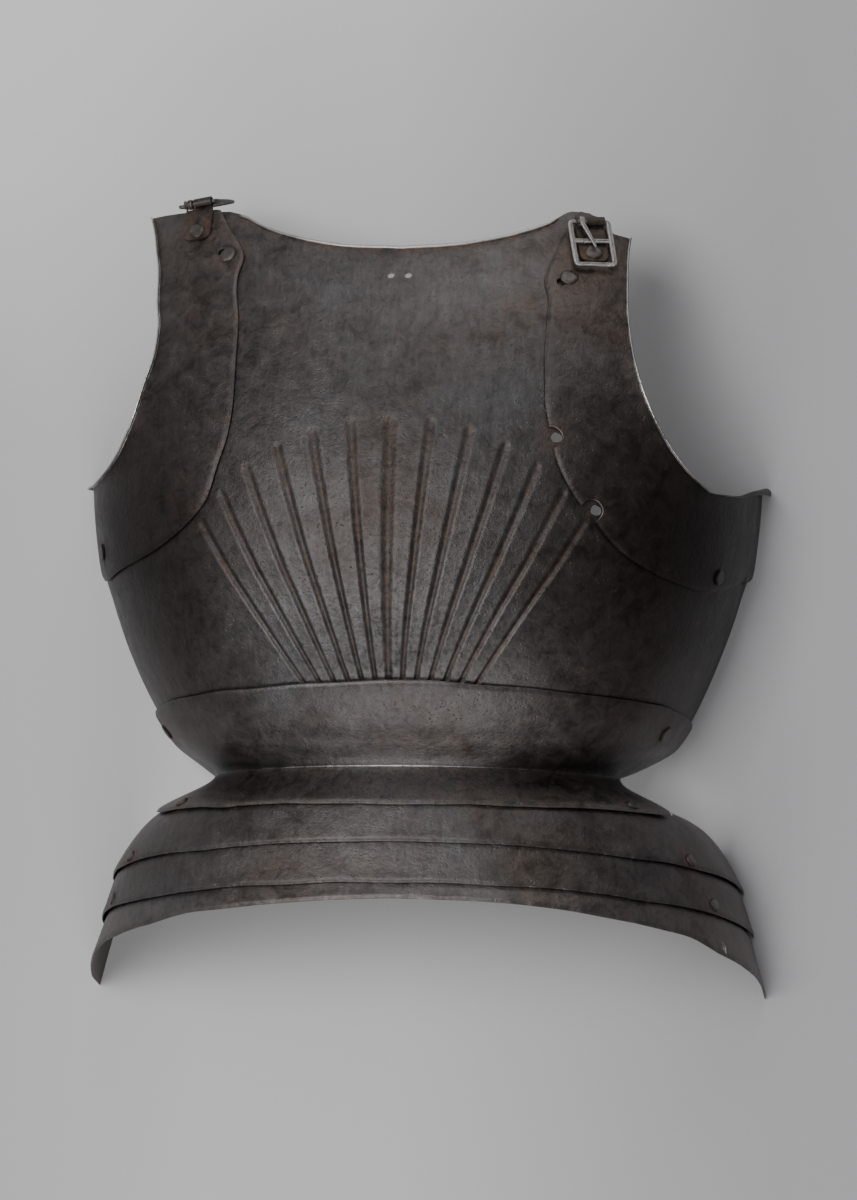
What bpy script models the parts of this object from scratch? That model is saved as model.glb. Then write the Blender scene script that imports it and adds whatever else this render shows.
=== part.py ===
"""Steel cuirass breastplate, lying on its open side with the front up. Metres, +Z up, +Y towards the neck.

Every plate is laid out in body coordinates: "around" runs from 0 on the centre line to 1 at the side edge on
the floor (negative on the left), and "along" is the height on the centre line. body_surface turns them into space.
"""
import math

import bmesh
import bpy
import numpy as np
from mathutils import Matrix, Vector

# Driving sizes of the body
BREAST_LENGTH = 0.3214
FAULD_LENGTH = 0.141
FAULD_CREST_LENGTH = 0.070
CHEST_HALF_WIDTH = 0.198
WAIST_HALF_WIDTH = 0.125
FAULD_HALF_WIDTH = 0.209
BELLY_DEPTH = 0.178
WAIST_DEPTH = 0.142
FAULD_DEPTH = 0.172
WAIST_DROP = 0.017
FAULD_ARCH = 0.071
SECTION_FULLNESS = 0.2
MIDDLE_OFFSET = 0.0032

# Plate thicknesses and the gaps between layers
PLATE = 0.0015
LAYER_GAP = 0.0011
LAME_GAP = 0.0015
SEAT_GAP = 0.0003
TAIL_GAP = 0.0010

# Flutes
FLUTE_COUNT = 13
FLUTE_PITCH = 5.3
FLUTE_HALF_ANGLE = 0.8
FLUTE_DEPTH = 0.0022
FLUTE_FAN_BELOW_CREASE = 0.0426
FLUTE_TOP_RADIUS = 0.240
FLUTE_TOP_FALL = 0.00075
FLUTE_END = 0.005

# How finely the plates are divided
LOWER_ROWS = 7
UPPER_ROWS = 7
WING_COLUMNS = 8
GUSSET_ROWS = 28
GUSSET_COLUMNS = 6
WAIST_ROWS = 7
FLANGE_ROWS = 4
WAIST_COLUMNS = 25
LAME_ROWS = 6
LAME_COLUMNS = 23

# Rims and edges
NECK_RIM_RADIUS = 0.0008
NECK_RIM_RUNOUT = 0.03
ARM_RIM_RADIUS = 0.0009
ARM_CURL_RADIUS = 0.0022
WAIST_PLATE_HEIGHT = 0.050
WAIST_OVERLAP = 0.027
FOOT_FALL = 0.009
LAME_OVERLAP = 0.010
LACE_HOLE_RADIUS = 0.0021
LACE_HOLE_SPACING = 0.0100
LACE_HOLE_BELOW_NECK = 0.0175
OLD_HOLE_RADIUS = 0.0030
NOTCH_RADIUS = 0.0062
DIAMOND_HALF_WIDTH = 0.0024
DIAMOND_HALF_HEIGHT = 0.0040

# Rivets
RIVET_HEAD_RADIUS = 0.0050
SMALL_HEAD_RADIUS = 0.0040
RIVET_HEAD_HEIGHT = 0.0014
SHANK_RADIUS = 0.0018
TAIL_RADIUS = 0.0032
TAIL_HEIGHT = 0.0010
HOLE_CLEARANCE = 0.0004
GUSSET_PLAY = 0.0028
SLOT_CLEARANCE = 0.0006

# Strap plates, buckles and tongues
BAR = 0.0022
BUCKLE_WIDTH = 0.0252
BUCKLE_REACH = 0.0300
BUCKLE_MIDDLE = 0.0136
BUCKLE_SIDE_BAR = 0.0030
BUCKLE_CORNER = 0.0011
EYE_HOLE_RADIUS = 0.00185
EYE_WALL = 0.0010
LEAF_WIDTH = 0.0164
LEAF_LENGTH = 0.0260
LEAF_THICKNESS = 0.0012
LEAF_RIVET_SHARE = 0.77
TONGUE_WIDTH = 0.0028
TONGUE_LENGTH = 0.0190
TONGUE_THICKNESS = 0.0012
TONGUE_BEND_SHARE = 0.7
TONGUE_OFFSET = -0.0050
TONGUE_SLANT = 0.35
TONGUE_PLAY = 0.0012
BUCKLE_OFFSET = -0.0006
BUCKLE_LEAN = 2.0

SHOULDER_Y = (BREAST_LENGTH + FAULD_LENGTH) / 2 - MIDDLE_OFFSET
CREASE_Y = SHOULDER_Y - BREAST_LENGTH
FLUTE_FAN_Y = CREASE_Y - FLUTE_FAN_BELOW_CREASE
QUARTER_ARC = CHEST_HALF_WIDTH * math.pi / 2 * 0.96
EYE_RADIUS = EYE_HOLE_RADIUS + EYE_WALL
SIDE_LIMIT = 1.02

# Sections of the breast: share of its length below the shoulder, shares of chest half width and belly depth
BREAST_SECTIONS = (
    # length, width, depth
    (0.000, 0.889, 0.539),
    (0.081, 0.929, 0.646),
    (0.230, 0.975, 0.803),
    (0.389, 1.000, 0.916),
    (0.529, 0.995, 0.978),
    (0.647, 0.975, 1.000),
    (0.713, 0.944, 1.000),
    (0.797, 0.899, 0.983),
    (0.862, 0.854, 0.944),
    (0.921, 0.798, 0.888),
    (0.952, 0.753, 0.848),
)

# How far the stations sink towards the sides, as a share of the waist drop
BREAST_DROPS = (
    # length, drop
    (0.80, 0.00),
    (0.862, 0.06),
    (0.921, 0.24),
    (0.952, 0.47),
)

# Sections of the fauld: share of its crest length below the crease, of its half width, depth and side arch
FAULD_SECTIONS = (
    # length, width, depth, drop
    (0.309, 0.789, 0.884, 0.282),
    (0.594, 0.909, 0.930, 0.549),
    (0.894, 0.952, 0.977, 0.606),
    (1.000, 1.000, 1.000, 1.000),
)

# Upper outline of the main plate from the centre of the neck to the side: around, share of length below the shoulder
NECK_EDGE = ((0.00, 0.0800), (0.10, 0.0755), (0.20, 0.0620), (0.30, 0.0370), (0.36, 0.0150))
NECK_ENDS = {"left": (0.410, 0.0050), "right": (0.404, 0.0180)}
ARM_EDGES = {
    "left": (
        (0.56, 0.0060),
        (0.52, 0.0930),
        (0.47, 0.2300),
        (0.46, 0.3760),
        (0.50, 0.4800),
        (0.62, 0.5480),
        (0.80, 0.5980),
        (SIDE_LIMIT, 0.6290),
    ),
    "right": (
        (0.405, 0.0185),
        (0.425, 0.0390),
        (0.440, 0.0680),
        (0.440, 0.2300),
        (0.455, 0.3760),
        (0.50, 0.4800),
        (0.62, 0.5480),
        (0.80, 0.5980),
        (SIDE_LIMIT, 0.6290),
    ),
}

# Outlines of the gussets from the shoulder to the side: seam around and along, rim around and along
GUSSET_LEFT_EDGES = (
    # seam around, seam length, rim around, rim length
    (0.432, 0.005, 0.674, 0.011),
    (0.402, 0.031, 0.630, 0.040),
    (0.358, 0.072, 0.590, 0.081),
    (0.344, 0.106, 0.560, 0.124),
    (0.336, 0.152, 0.540, 0.174),
    (0.317, 0.221, 0.518, 0.224),
    (0.311, 0.289, 0.512, 0.274),
    (0.307, 0.355, 0.522, 0.324),
    (0.313, 0.411, 0.535, 0.373),
    (0.335, 0.473, 0.562, 0.417),
    (0.358, 0.529, 0.610, 0.457),
    (0.420, 0.582, 0.680, 0.485),
    (0.510, 0.622, 0.770, 0.501),
    (0.640, 0.652, 0.860, 0.504),
    (0.800, 0.674, 0.940, 0.501),
    (SIDE_LIMIT, 0.660, SIDE_LIMIT, 0.498),
)
GUSSET_RIGHT_EDGES = (
    # seam around, seam length, rim around, rim length
    (0.375, 0.018, 0.488, 0.068),
    (0.345, 0.047, 0.478, 0.093),
    (0.318, 0.084, 0.470, 0.131),
    (0.303, 0.118, 0.464, 0.168),
    (0.297, 0.168, 0.460, 0.212),
    (0.289, 0.230, 0.461, 0.252),
    (0.284, 0.292, 0.465, 0.296),
    (0.284, 0.355, 0.474, 0.339),
    (0.293, 0.408, 0.492, 0.380),
    (0.310, 0.467, 0.520, 0.420),
    (0.345, 0.526, 0.565, 0.464),
    (0.395, 0.576, 0.620, 0.498),
    (0.460, 0.628, 0.690, 0.523),
    (0.570, 0.670, 0.780, 0.526),
    (0.740, 0.694, 0.880, 0.517),
    (SIDE_LIMIT, 0.666, SIDE_LIMIT, 0.513),
)

# Places in body coordinates: around (positive right), share of length below the shoulder
UPPER_RIVETS = {"left": (-0.372, 0.094), "right": (0.338, 0.144)}
LOWER_RIVETS = {"left": (-0.745, 0.622), "right": (0.745, 0.667)}
STRAP_EYES = {"left": (-0.4765, -0.0065), "right": (0.394, 0.040)}
STRAP_TURNS = {"left": 13.0, "right": 3.0}
STRAP_ROCKS = {"left": 8.0, "right": 0.0}
OLD_HOLES = ((0.309, 0.427), (0.395, 0.554))
NOTCH_SHIFT = 0.010
NECK_RIM_ENDS = {"left": 0.390, "right": 0.330}
LOBE_REACH = 0.012
LOBE_LENGTH = 0.026
LOBE_END = 0.45

# Side outline of the waist plate, from its upper edge down to the flange: share of its height, around
WAIST_SIDE = ((0.00, 0.985), (0.28, 0.990), (0.42, 0.950), (0.60, 0.870), (0.72, 0.800), (0.86, 0.745), (1.00, 0.735))
WAIST_CREASE_SHARE = 0.72
WAIST_UPPER_RISE = 0.026
WAIST_UPPER_POWER = 1.3
FLANGE_SHARE = 0.309

# Fauld lames: lower edge as a share of the fauld's crest, and the corner where the side edge starts
LAME_LOWER_EDGES = (0.594, 0.894, 1.000)
LAME_1_SHOULDER = ((0.00, 0.720), (0.35, 0.860), (0.60, 0.960), (0.75, SIDE_LIMIT))
FAULD_RIVETS = ((0.600, 0.270), (0.673, 0.555), (0.728, 0.835))
WAIST_RIVET = (0.775, 0.936)
DIAMOND = (0.720, 0.985)

PLATE_STEEL = (0.075, 0.062, 0.055)
WORN_STEEL = (0.30, 0.30, 0.30)


def clear_scene():
    for obj in list(bpy.data.objects):
        bpy.data.objects.remove(obj, do_unlink=True)


def make_collection(name):
    collection = bpy.data.collections.new(name)
    bpy.context.scene.collection.children.link(collection)
    return collection


clear_scene()
PIECES = make_collection("cuirass_breastplate")
CUTTERS = make_collection("cutters")
CUTTERS.hide_render = True


def steel(name, colour, roughness):
    material = bpy.data.materials.new(name)
    material.use_nodes = True
    shader = material.node_tree.nodes["Principled BSDF"]
    shader.inputs["Base Color"].default_value = (*colour, 1.0)
    shader.inputs["Metallic"].default_value = 1.0
    shader.inputs["Roughness"].default_value = roughness
    material.diffuse_color = (*colour, 1.0)
    return material


def smooth(at, knots, values):
    """A monotone cubic through the knots, carried on straight past both ends."""
    order = np.argsort(knots)
    x = np.asarray(knots, float)[order]
    y = np.asarray(values, float)[order]
    at = np.asarray(at, float)
    rise = np.diff(y) / np.diff(x)
    slope = np.concatenate([rise[:1], np.zeros(len(x) - 2), rise[-1:]])
    same = rise[1:] * rise[:-1] > 0
    total = np.where(same, rise[1:] + rise[:-1], 1.0)
    slope[1:-1] = np.where(same, 2 * rise[1:] * rise[:-1] / total, 0.0)
    i = np.clip(np.searchsorted(x, at) - 1, 0, len(x) - 2)
    h = x[i + 1] - x[i]
    u = (at - x[i]) / h
    inside = (
        (2 * u**3 - 3 * u**2 + 1) * y[i]
        + (u**3 - 2 * u**2 + u) * h * slope[i]
        + (3 * u**2 - 2 * u**3) * y[i + 1]
        + (u**3 - u**2) * h * slope[i + 1]
    )
    before = y[0] + slope[0] * (at - x[0])
    after = y[-1] + slope[-1] * (at - x[-1])
    return np.where(at < x[0], before, np.where(at > x[-1], after, inside))


def station(length_share):
    """Height of a place on the centre line, from its share of the breast's length below the shoulder."""
    return SHOULDER_Y - np.asarray(length_share, float) * BREAST_LENGTH


def fauld_station(crest_share):
    return CREASE_Y - np.asarray(crest_share, float) * FAULD_CREST_LENGTH


def section_tables():
    breast = np.array(BREAST_SECTIONS)
    drops = np.array(BREAST_DROPS)
    fauld = np.array(FAULD_SECTIONS)
    heights = np.concatenate([station(breast[:, 0]), [CREASE_Y], fauld_station(fauld[:, 0])])
    widths = np.concatenate([breast[:, 1] * CHEST_HALF_WIDTH, [WAIST_HALF_WIDTH], fauld[:, 1] * FAULD_HALF_WIDTH])
    depths = np.concatenate([breast[:, 2] * BELLY_DEPTH, [WAIST_DEPTH], fauld[:, 2] * FAULD_DEPTH])
    drop_heights = np.concatenate([[SHOULDER_Y], station(drops[:, 0]), [CREASE_Y], fauld_station(fauld[:, 0])])
    sunk = np.concatenate([[0.0], drops[:, 1] * WAIST_DROP, [WAIST_DROP], fauld[:, 3] * FAULD_ARCH])
    return heights, widths, depths, drop_heights, sunk


HEIGHTS, WIDTHS, DEPTHS, DROP_HEIGHTS, DROPS = section_tables()


def bare_surface(around, along):
    """Points of the body: each section is a full half ellipse whose stations sink towards the sides."""
    angle = np.asarray(around, float) * math.pi / 2
    half_width = smooth(along, HEIGHTS, WIDTHS)
    depth = smooth(along, HEIGHTS, DEPTHS)
    sunk = smooth(along, DROP_HEIGHTS, DROPS)
    x = half_width * np.sin(angle)
    y = along - sunk * np.square(around)
    z = depth * np.cos(angle) * (1 + SECTION_FULLNESS * np.sin(angle) ** 2)
    return np.stack(np.broadcast_arrays(x, y, z), axis=-1)


def body_surface(around, along, lift=0.0):
    """The body's surface, lifted square to itself."""
    step = 0.0005
    around, along = np.broadcast_arrays(np.asarray(around, float), np.asarray(along, float))
    across = bare_surface(around + step, along) - bare_surface(around - step, along)
    up = bare_surface(around, along + step) - bare_surface(around, along - step)
    normal = np.cross(across, up)
    normal /= np.linalg.norm(normal, axis=-1, keepdims=True)
    return bare_surface(around, along) + np.asarray(lift, float)[..., None] * normal


def seat(around, along, lift=0.0):
    """The frame of a fitting on the body: Z out of the plate, Y up the plate, X across it."""
    step = 0.001
    point = body_surface(around, along, lift)
    across = body_surface(around + step, along, lift) - point
    up = body_surface(around, along + step, lift) - point
    normal = Vector(np.cross(across, up)).normalized()
    rise = Vector(up).normalized()
    side = rise.cross(normal).normalized()
    frame = Matrix.Identity(4)
    for column, axis in enumerate((side, rise, normal, Vector(point))):
        for row in range(3):
            frame[row][column] = axis[row]
    return frame


def add_object(name, mesh, collection, material=None):
    obj = bpy.data.objects.new(name, mesh)
    collection.objects.link(obj)
    if material is not None:
        mesh.materials.append(material)
    return obj


def add_plate(name, points, material, thickness=PLATE):
    """A grid moved onto the points, rows from the bottom up and columns from left to right, given its thickness
    inwards."""
    rows, columns = points.shape[:2]
    bm = bmesh.new()
    bmesh.ops.create_grid(bm, x_segments=columns - 1, y_segments=rows - 1, size=1.0)
    mesh = bpy.data.meshes.new(name)
    bm.to_mesh(mesh)
    bm.free()
    mesh.vertices.foreach_set("co", points.reshape(-1).astype(np.float32))
    mesh.update()
    obj = add_object(name, mesh, PIECES, material)
    mesh.shade_smooth()
    wall = obj.modifiers.new("wall", "SOLIDIFY")
    wall.thickness = thickness
    wall.offset = -1
    wall.use_even_offset = True
    return obj


def cut(piece, tools):
    """Cuts the piece with all its tools, which are meshes in one cutter object."""
    mesh = bpy.data.meshes.new(piece.name + "_cuts")
    bm = bmesh.new()
    for add_tool in tools:
        add_tool(bm)
    bmesh.ops.recalc_face_normals(bm, faces=bm.faces)
    bm.to_mesh(mesh)
    bm.free()
    cutter = add_object(piece.name + "_cuts", mesh, CUTTERS)
    cutter.hide_render = True
    cutter.display_type = "WIRE"
    holes = piece.modifiers.new("cuts", "BOOLEAN")
    holes.operation = "DIFFERENCE"
    holes.object = cutter


def floor_tool():
    """A block under the floor, which trims the side edges flat."""
    size = 1.0

    def add(bm):
        bmesh.ops.create_cube(bm, size=size, matrix=Matrix.Translation((0, 0, -size / 2)))

    return add


def hole_tool(frame, radius, segments=8, stretch=(0.0, 0.0), height=0.016):
    """A round or stretched hole square to the plate. The stretch moves the two halves of the circle apart."""

    def add(bm):
        made = bmesh.ops.create_cone(
            bm, cap_ends=True, segments=segments, radius1=radius, radius2=radius, depth=height
        )
        for vertex in made["verts"]:
            vertex.co.x += math.copysign(stretch[0], vertex.co.x)
            vertex.co.y += math.copysign(stretch[1], vertex.co.y)
            vertex.co = frame @ vertex.co

    return add


def diamond_tool(frame, half_width, half_height):
    def add(bm):
        made = bmesh.ops.create_cone(bm, cap_ends=True, segments=4, radius1=1, radius2=1, depth=0.016)
        for vertex in made["verts"]:
            vertex.co.x *= half_width
            vertex.co.y *= half_height
            vertex.co = frame @ vertex.co

    return add


def add_rivet(name, frame, grip, head_radius, material):
    """A turned rivet: domed head, shank through the plates and a flat tail inside them."""
    top = RIVET_HEAD_HEIGHT
    bottom = -grip - TAIL_GAP
    profile = (
        (0.0, top),
        (0.62 * head_radius, 0.78 * top),
        (head_radius, 0.0),
        (SHANK_RADIUS, 0.0),
        (SHANK_RADIUS, bottom),
        (TAIL_RADIUS, bottom),
        (TAIL_RADIUS, bottom - TAIL_HEIGHT),
        (0.0, bottom - TAIL_HEIGHT),
    )
    mesh = bpy.data.meshes.new(name)
    points = [(x, 0.0, z + SEAT_GAP) for x, z in profile]
    mesh.from_pydata(points, [(i, i + 1) for i in range(len(points) - 1)], [])
    obj = add_object(name, mesh, PIECES, material)
    obj.matrix_world = frame
    turn = obj.modifiers.new("turn", "SCREW")
    turn.steps = 8
    turn.render_steps = 8
    turn.use_merge_vertices = True
    turn.merge_threshold = 0.00001
    return obj


def outline_mesh(name, outlines, thickness):
    """A flat outline with holes, given its thickness, as a welded mesh in its own XY plane."""
    curve = bpy.data.curves.new(name, "CURVE")
    curve.dimensions = "2D"
    curve.fill_mode = "BOTH"
    curve.extrude = thickness / 2
    for outline in outlines:
        spline = curve.splines.new("POLY")
        spline.points.add(len(outline) - 1)
        for point, (x, y) in zip(spline.points, outline):
            point.co = (x, y, 0, 1)
        spline.use_cyclic_u = True
    holder = add_object(name, curve, CUTTERS)
    graph = bpy.context.evaluated_depsgraph_get()
    mesh = bpy.data.meshes.new_from_object(holder.evaluated_get(graph))
    bpy.data.objects.remove(holder, do_unlink=True)
    bm = bmesh.new()
    bm.from_mesh(mesh)
    bmesh.ops.remove_doubles(bm, verts=bm.verts, dist=0.00001)
    bmesh.ops.recalc_face_normals(bm, faces=bm.faces)
    bm.to_mesh(mesh)
    bm.free()
    mesh.name = name
    return mesh


def arc(radius, first, last, steps, centre=(0.0, 0.0)):
    angles = np.radians(np.linspace(first, last, steps))
    return [(centre[0] + radius * math.cos(a), centre[1] + radius * math.sin(a)) for a in angles]


def rounded_box(left, right, bottom, top, radius):
    corners = ((right, top, 0), (left, top, 90), (left, bottom, 180), (right, bottom, 270))
    points = []
    for x, y, start in corners:
        inwards_x = math.copysign(radius, (left + right) / 2 - x)
        inwards_y = math.copysign(radius, (bottom + top) / 2 - y)
        points += arc(radius, start, start + 90, 3, (x + inwards_x, y + inwards_y))
    return points


def spread(columns, share):
    """Places across a plate from -1 to 1, closer together at the sides as the share nears 1."""
    angle = share * math.pi / 2
    return np.sin(np.linspace(-angle, angle, columns)) / math.sin(angle)


def column_ends(edge_around, edge_along, bearings, outer):
    """Ends of one half's columns on an edge that runs outwards: where the rays of the flute fan cross it, and then
    spread evenly over the rest of the edge."""
    across = edge_around * QUARTER_ARC
    bearing = np.arctan2(across, edge_along - FLUTE_FAN_Y)
    length = np.concatenate([[0.0], np.cumsum(np.hypot(np.diff(across), np.diff(edge_along)))])
    crossings = np.interp(bearings, bearing, length)
    rest = crossings[-1] + (length[-1] - crossings[-1]) * outer
    at = np.concatenate([crossings, rest])
    return np.interp(at, length, edge_around), np.interp(at, length, edge_along)


def dense_edge(points, count=240):
    """A smooth line through the points of an edge, as its two coordinates."""
    knots = np.array(points, float)
    at = np.linspace(0, len(knots) - 1, count)
    index = np.arange(len(knots))
    return smooth(at, index, knots[:, 0]), smooth(at, index, knots[:, 1])


def waist_upper_edge(around):
    """The upper edge of the waist plate, which sinks from the centre to the sides."""
    return CREASE_Y + WAIST_PLATE_HEIGHT - WAIST_UPPER_RISE * np.abs(around) ** WAIST_UPPER_POWER


def half_breastplate(side):
    """One half of the main plate from the centre line outwards, as places on the body and depths of the flutes.
    Columns follow the rays of the flute fan, with one more at the shoulder's corner, and swing out to the side edge
    beyond it. Rows run from the hidden foot to the neck and the arm edge, with two rows close together at the round
    tops of the flutes."""
    neck_around, neck_share = dense_edge([*NECK_EDGE, NECK_ENDS[side]])
    arm_around, arm_share = dense_edge(ARM_EDGES[side])
    upper_around = np.concatenate([neck_around, arm_around])
    upper_along = station(np.concatenate([neck_share, arm_share]))
    corner = math.degrees(math.atan2(arm_around[0] * QUARTER_ARC, station(arm_share[0]) - FLUTE_FAN_Y))
    flutes = range(FLUTE_COUNT // 2 + 1)
    middles = [flute * FLUTE_PITCH for flute in flutes]
    edges = [middle + turn for middle in middles for turn in (-FLUTE_HALF_ANGLE, FLUTE_HALF_ANGLE)]
    rays = np.array(sorted(middles + edges[1:] + [corner]))
    bearings = np.radians(rays)
    outer = np.linspace(0, 1, WING_COLUMNS + 1)[1:]
    top_around, top_along = column_ends(upper_around, upper_along, bearings, outer)
    foot_edge = np.linspace(0, SIDE_LIMIT, 200)
    foot_around, foot_along = column_ends(foot_edge, lower_edge(foot_edge), bearings, outer)

    top = np.hypot(top_around * QUARTER_ARC, top_along - FLUTE_FAN_Y)
    foot = np.hypot(foot_around * QUARTER_ARC, foot_along - FLUTE_FAN_Y)
    flute_top = FLUTE_TOP_RADIUS - FLUTE_TOP_FALL * (rays / FLUTE_PITCH) ** 2
    fluted = len(rays)
    share = (flute_top - foot[:fluted]) / (top[:fluted] - foot[:fluted])
    share = np.concatenate([share, np.full(WING_COLUMNS, share[-1])])
    end = np.full_like(share, FLUTE_END / (top[0] - foot[0]))
    lower = np.linspace(0, 1, LOWER_ROWS)[:, None] * (share - end)
    upper = share + np.linspace(0, 1, UPPER_ROWS)[1:, None] * (1 - share)
    shares = np.concatenate([lower, share[None], upper])
    around = foot_around + shares * (top_around - foot_around)
    along = foot_along + shares * (top_along - foot_along)
    sunk = np.zeros_like(around)
    sunk[: len(lower), np.searchsorted(rays, middles)] = FLUTE_DEPTH
    return around, along, sunk


def breastplate_points():
    left = half_breastplate("left")
    right = half_breastplate("right")
    around = np.concatenate([-left[0][:, :0:-1], right[0]], axis=1)
    along = np.concatenate([left[1][:, :0:-1], right[1]], axis=1)
    sunk = np.concatenate([left[2][:, :0:-1], right[2]], axis=1)
    points = body_surface(around, along, -sunk)
    return add_neck_rim(points, around, along)


def add_neck_rim(points, around, along):
    """Turns the last row outwards into a narrow rim."""
    end = np.where(around[-1] < 0, NECK_RIM_ENDS["left"], NECK_RIM_ENDS["right"])
    on_neck = np.clip((end - np.abs(around[-1])) / NECK_RIM_RUNOUT, 0, 1)[:, None]
    outwards = body_surface(around[-1], along[-1], 0.001) - body_surface(around[-1], along[-1])
    outwards /= np.linalg.norm(outwards, axis=1)[:, None]
    upwards = points[-1] - points[-2]
    upwards /= np.linalg.norm(upwards, axis=1)[:, None]
    rows = [points]
    for degrees in (60, 120):
        angle = math.radians(degrees)
        size = NECK_RIM_RADIUS * 2
        move = upwards * math.sin(angle) + outwards * (1 - math.cos(angle))
        hold = upwards * math.sin(angle)
        rows.append((points[-1] + size * (on_neck * move + (1 - on_neck) * hold * degrees / 60))[None])
    return np.concatenate(rows)


def lower_edge(around):
    """The hidden foot of the main plate under the waist plate."""
    return CREASE_Y + WAIST_PLATE_HEIGHT - WAIST_OVERLAP - FOOT_FALL * np.square(around)


def gusset_points(edges, sign):
    """Rows run from the side end up to the shoulder and columns from the left to the right, with a rolled rim."""
    table = np.array(edges)[::-1]
    middle = (table[:, :2] + table[:, 2:]) / 2 * (QUARTER_ARC, BREAST_LENGTH)
    index = np.arange(len(table))
    length = np.concatenate([[0.0], np.cumsum(np.linalg.norm(np.diff(middle, axis=0), axis=1))])
    at = np.interp(np.linspace(0, length[-1], GUSSET_ROWS), length, index)
    seam_around, seam_share, rim_around, rim_share = (smooth(at, index, table[:, i]) for i in range(4))
    place = UPPER_RIVETS["left" if sign < 0 else "right"]
    lobe = np.exp(-np.square((seam_share - place[1]) / LOBE_LENGTH))
    seam_around = seam_around - LOBE_REACH * lobe * (seam_around < LOBE_END)
    across = np.linspace(0, 1, GUSSET_COLUMNS)
    around = seam_around[:, None] + across * (rim_around - seam_around)[:, None]
    along = station(seam_share[:, None] + across * (rim_share - seam_share)[:, None])
    lift = LAYER_GAP + PLATE
    points = body_surface(sign * around, along, lift)
    outwards = body_surface(sign * rim_around, along[:, -1], lift + 0.001) - points[:, -1]
    outwards /= np.linalg.norm(outwards, axis=1)[:, None]
    away = points[:, -1] - points[:, -2]
    away /= np.linalg.norm(away, axis=1)[:, None]
    curl = smooth(rim_around, (0.40, 0.70, 1.00), (0.0, 0.0, 1.0))
    radius = (ARM_RIM_RADIUS + (ARM_CURL_RADIUS - ARM_RIM_RADIUS) * curl)[:, None]
    columns = [points]
    for degrees in (60, 120, 180):
        angle = math.radians(degrees)
        roll = points[:, -1] + radius * (away * math.sin(angle) + outwards * (1 - math.cos(angle)))
        columns.append(roll[:, None])
    points = np.concatenate(columns, axis=1)
    return points if sign > 0 else points[:, ::-1]


def waist_plate_points():
    """Rows run from the lip of the flange up over the crease to the upper edge."""
    lift = LAYER_GAP + PLATE
    crease = WAIST_CREASE_SHARE
    upper_rows = np.linspace(crease, 0.0, WAIST_ROWS)
    flange_rows = np.linspace(1.0, crease, FLANGE_ROWS)[:-1]
    rows = np.concatenate([flange_rows, upper_rows])
    across = spread(WAIST_COLUMNS, 0.86)
    side = np.array(WAIST_SIDE)
    around = smooth(rows, side[:, 0], side[:, 1])[:, None] * across
    upper_share = np.clip(rows / crease, 0, 1)[:, None]
    flange_share = np.clip((rows - crease) / (1 - crease), 0, 1)[:, None]
    top = waist_upper_edge(around)
    along = top + (CREASE_Y - top) * upper_share - FLANGE_SHARE * FAULD_CREST_LENGTH * flange_share
    return body_surface(around, along, lift)


def lame_points(number):
    """Rows of one fauld lame from its lower edge to its hidden top under the piece above."""
    above = ([FLANGE_SHARE, *LAME_LOWER_EDGES])[number]
    below = LAME_LOWER_EDGES[number]
    top = above - LAME_OVERLAP / FAULD_CREST_LENGTH
    rows = np.linspace(below, top, LAME_ROWS)
    lift = LAYER_GAP - LAME_GAP - number * (PLATE + LAME_GAP)
    across = spread(LAME_COLUMNS, 0.9)
    limit = np.full(len(rows), SIDE_LIMIT)
    if number == 0:
        shoulder = np.array(LAME_1_SHOULDER)
        height = (rows[::-1] - top) / (below - top)
        limit = smooth(np.clip(height, 0, shoulder[-1, 0]), shoulder[:, 0], shoulder[:, 1])[::-1]
    return body_surface(limit[:, None] * across, fauld_station(rows)[:, None], lift)


def eye_and_leaf(leaf_length, leaf_bottom, leaf_thickness, tip_drop=0.0):
    """Outline of a strip that ends in a closed eye: the eye round the origin, the leaf along -X."""
    leaf_top = leaf_bottom + leaf_thickness
    top_angle = math.degrees(math.asin(max(-1.0, min(1.0, leaf_top / EYE_RADIUS))))
    bottom_angle = math.degrees(math.asin(max(-1.0, min(1.0, leaf_bottom / EYE_RADIUS))))
    eye = arc(EYE_RADIUS, -180 - bottom_angle, 180 - top_angle, 11)
    if bottom_angle <= -89:
        eye = arc(EYE_RADIUS, -90, 180 - top_angle, 11)
    if top_angle >= 89:
        eye = arc(EYE_RADIUS, -180 - bottom_angle, 90, 11)
    tip = [(-leaf_length, leaf_top - tip_drop), (-leaf_length, leaf_bottom - tip_drop)]
    if tip_drop:
        bend = leaf_length * TONGUE_BEND_SHARE
        tip = [(-bend, leaf_top), *tip, (-bend, leaf_bottom)]
    return [eye + tip, arc(EYE_HOLE_RADIUS, 0, 330, 12)]


def side_on(mesh):
    """Stands an outline on its edge, so that its X runs along Y, its Y along Z and its thickness along X."""
    turn = Matrix(((0, 0, 1, 0), (1, 0, 0, 0), (0, 1, 0, 0), (0, 0, 0, 1)))
    mesh.transform(turn)
    return mesh


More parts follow.
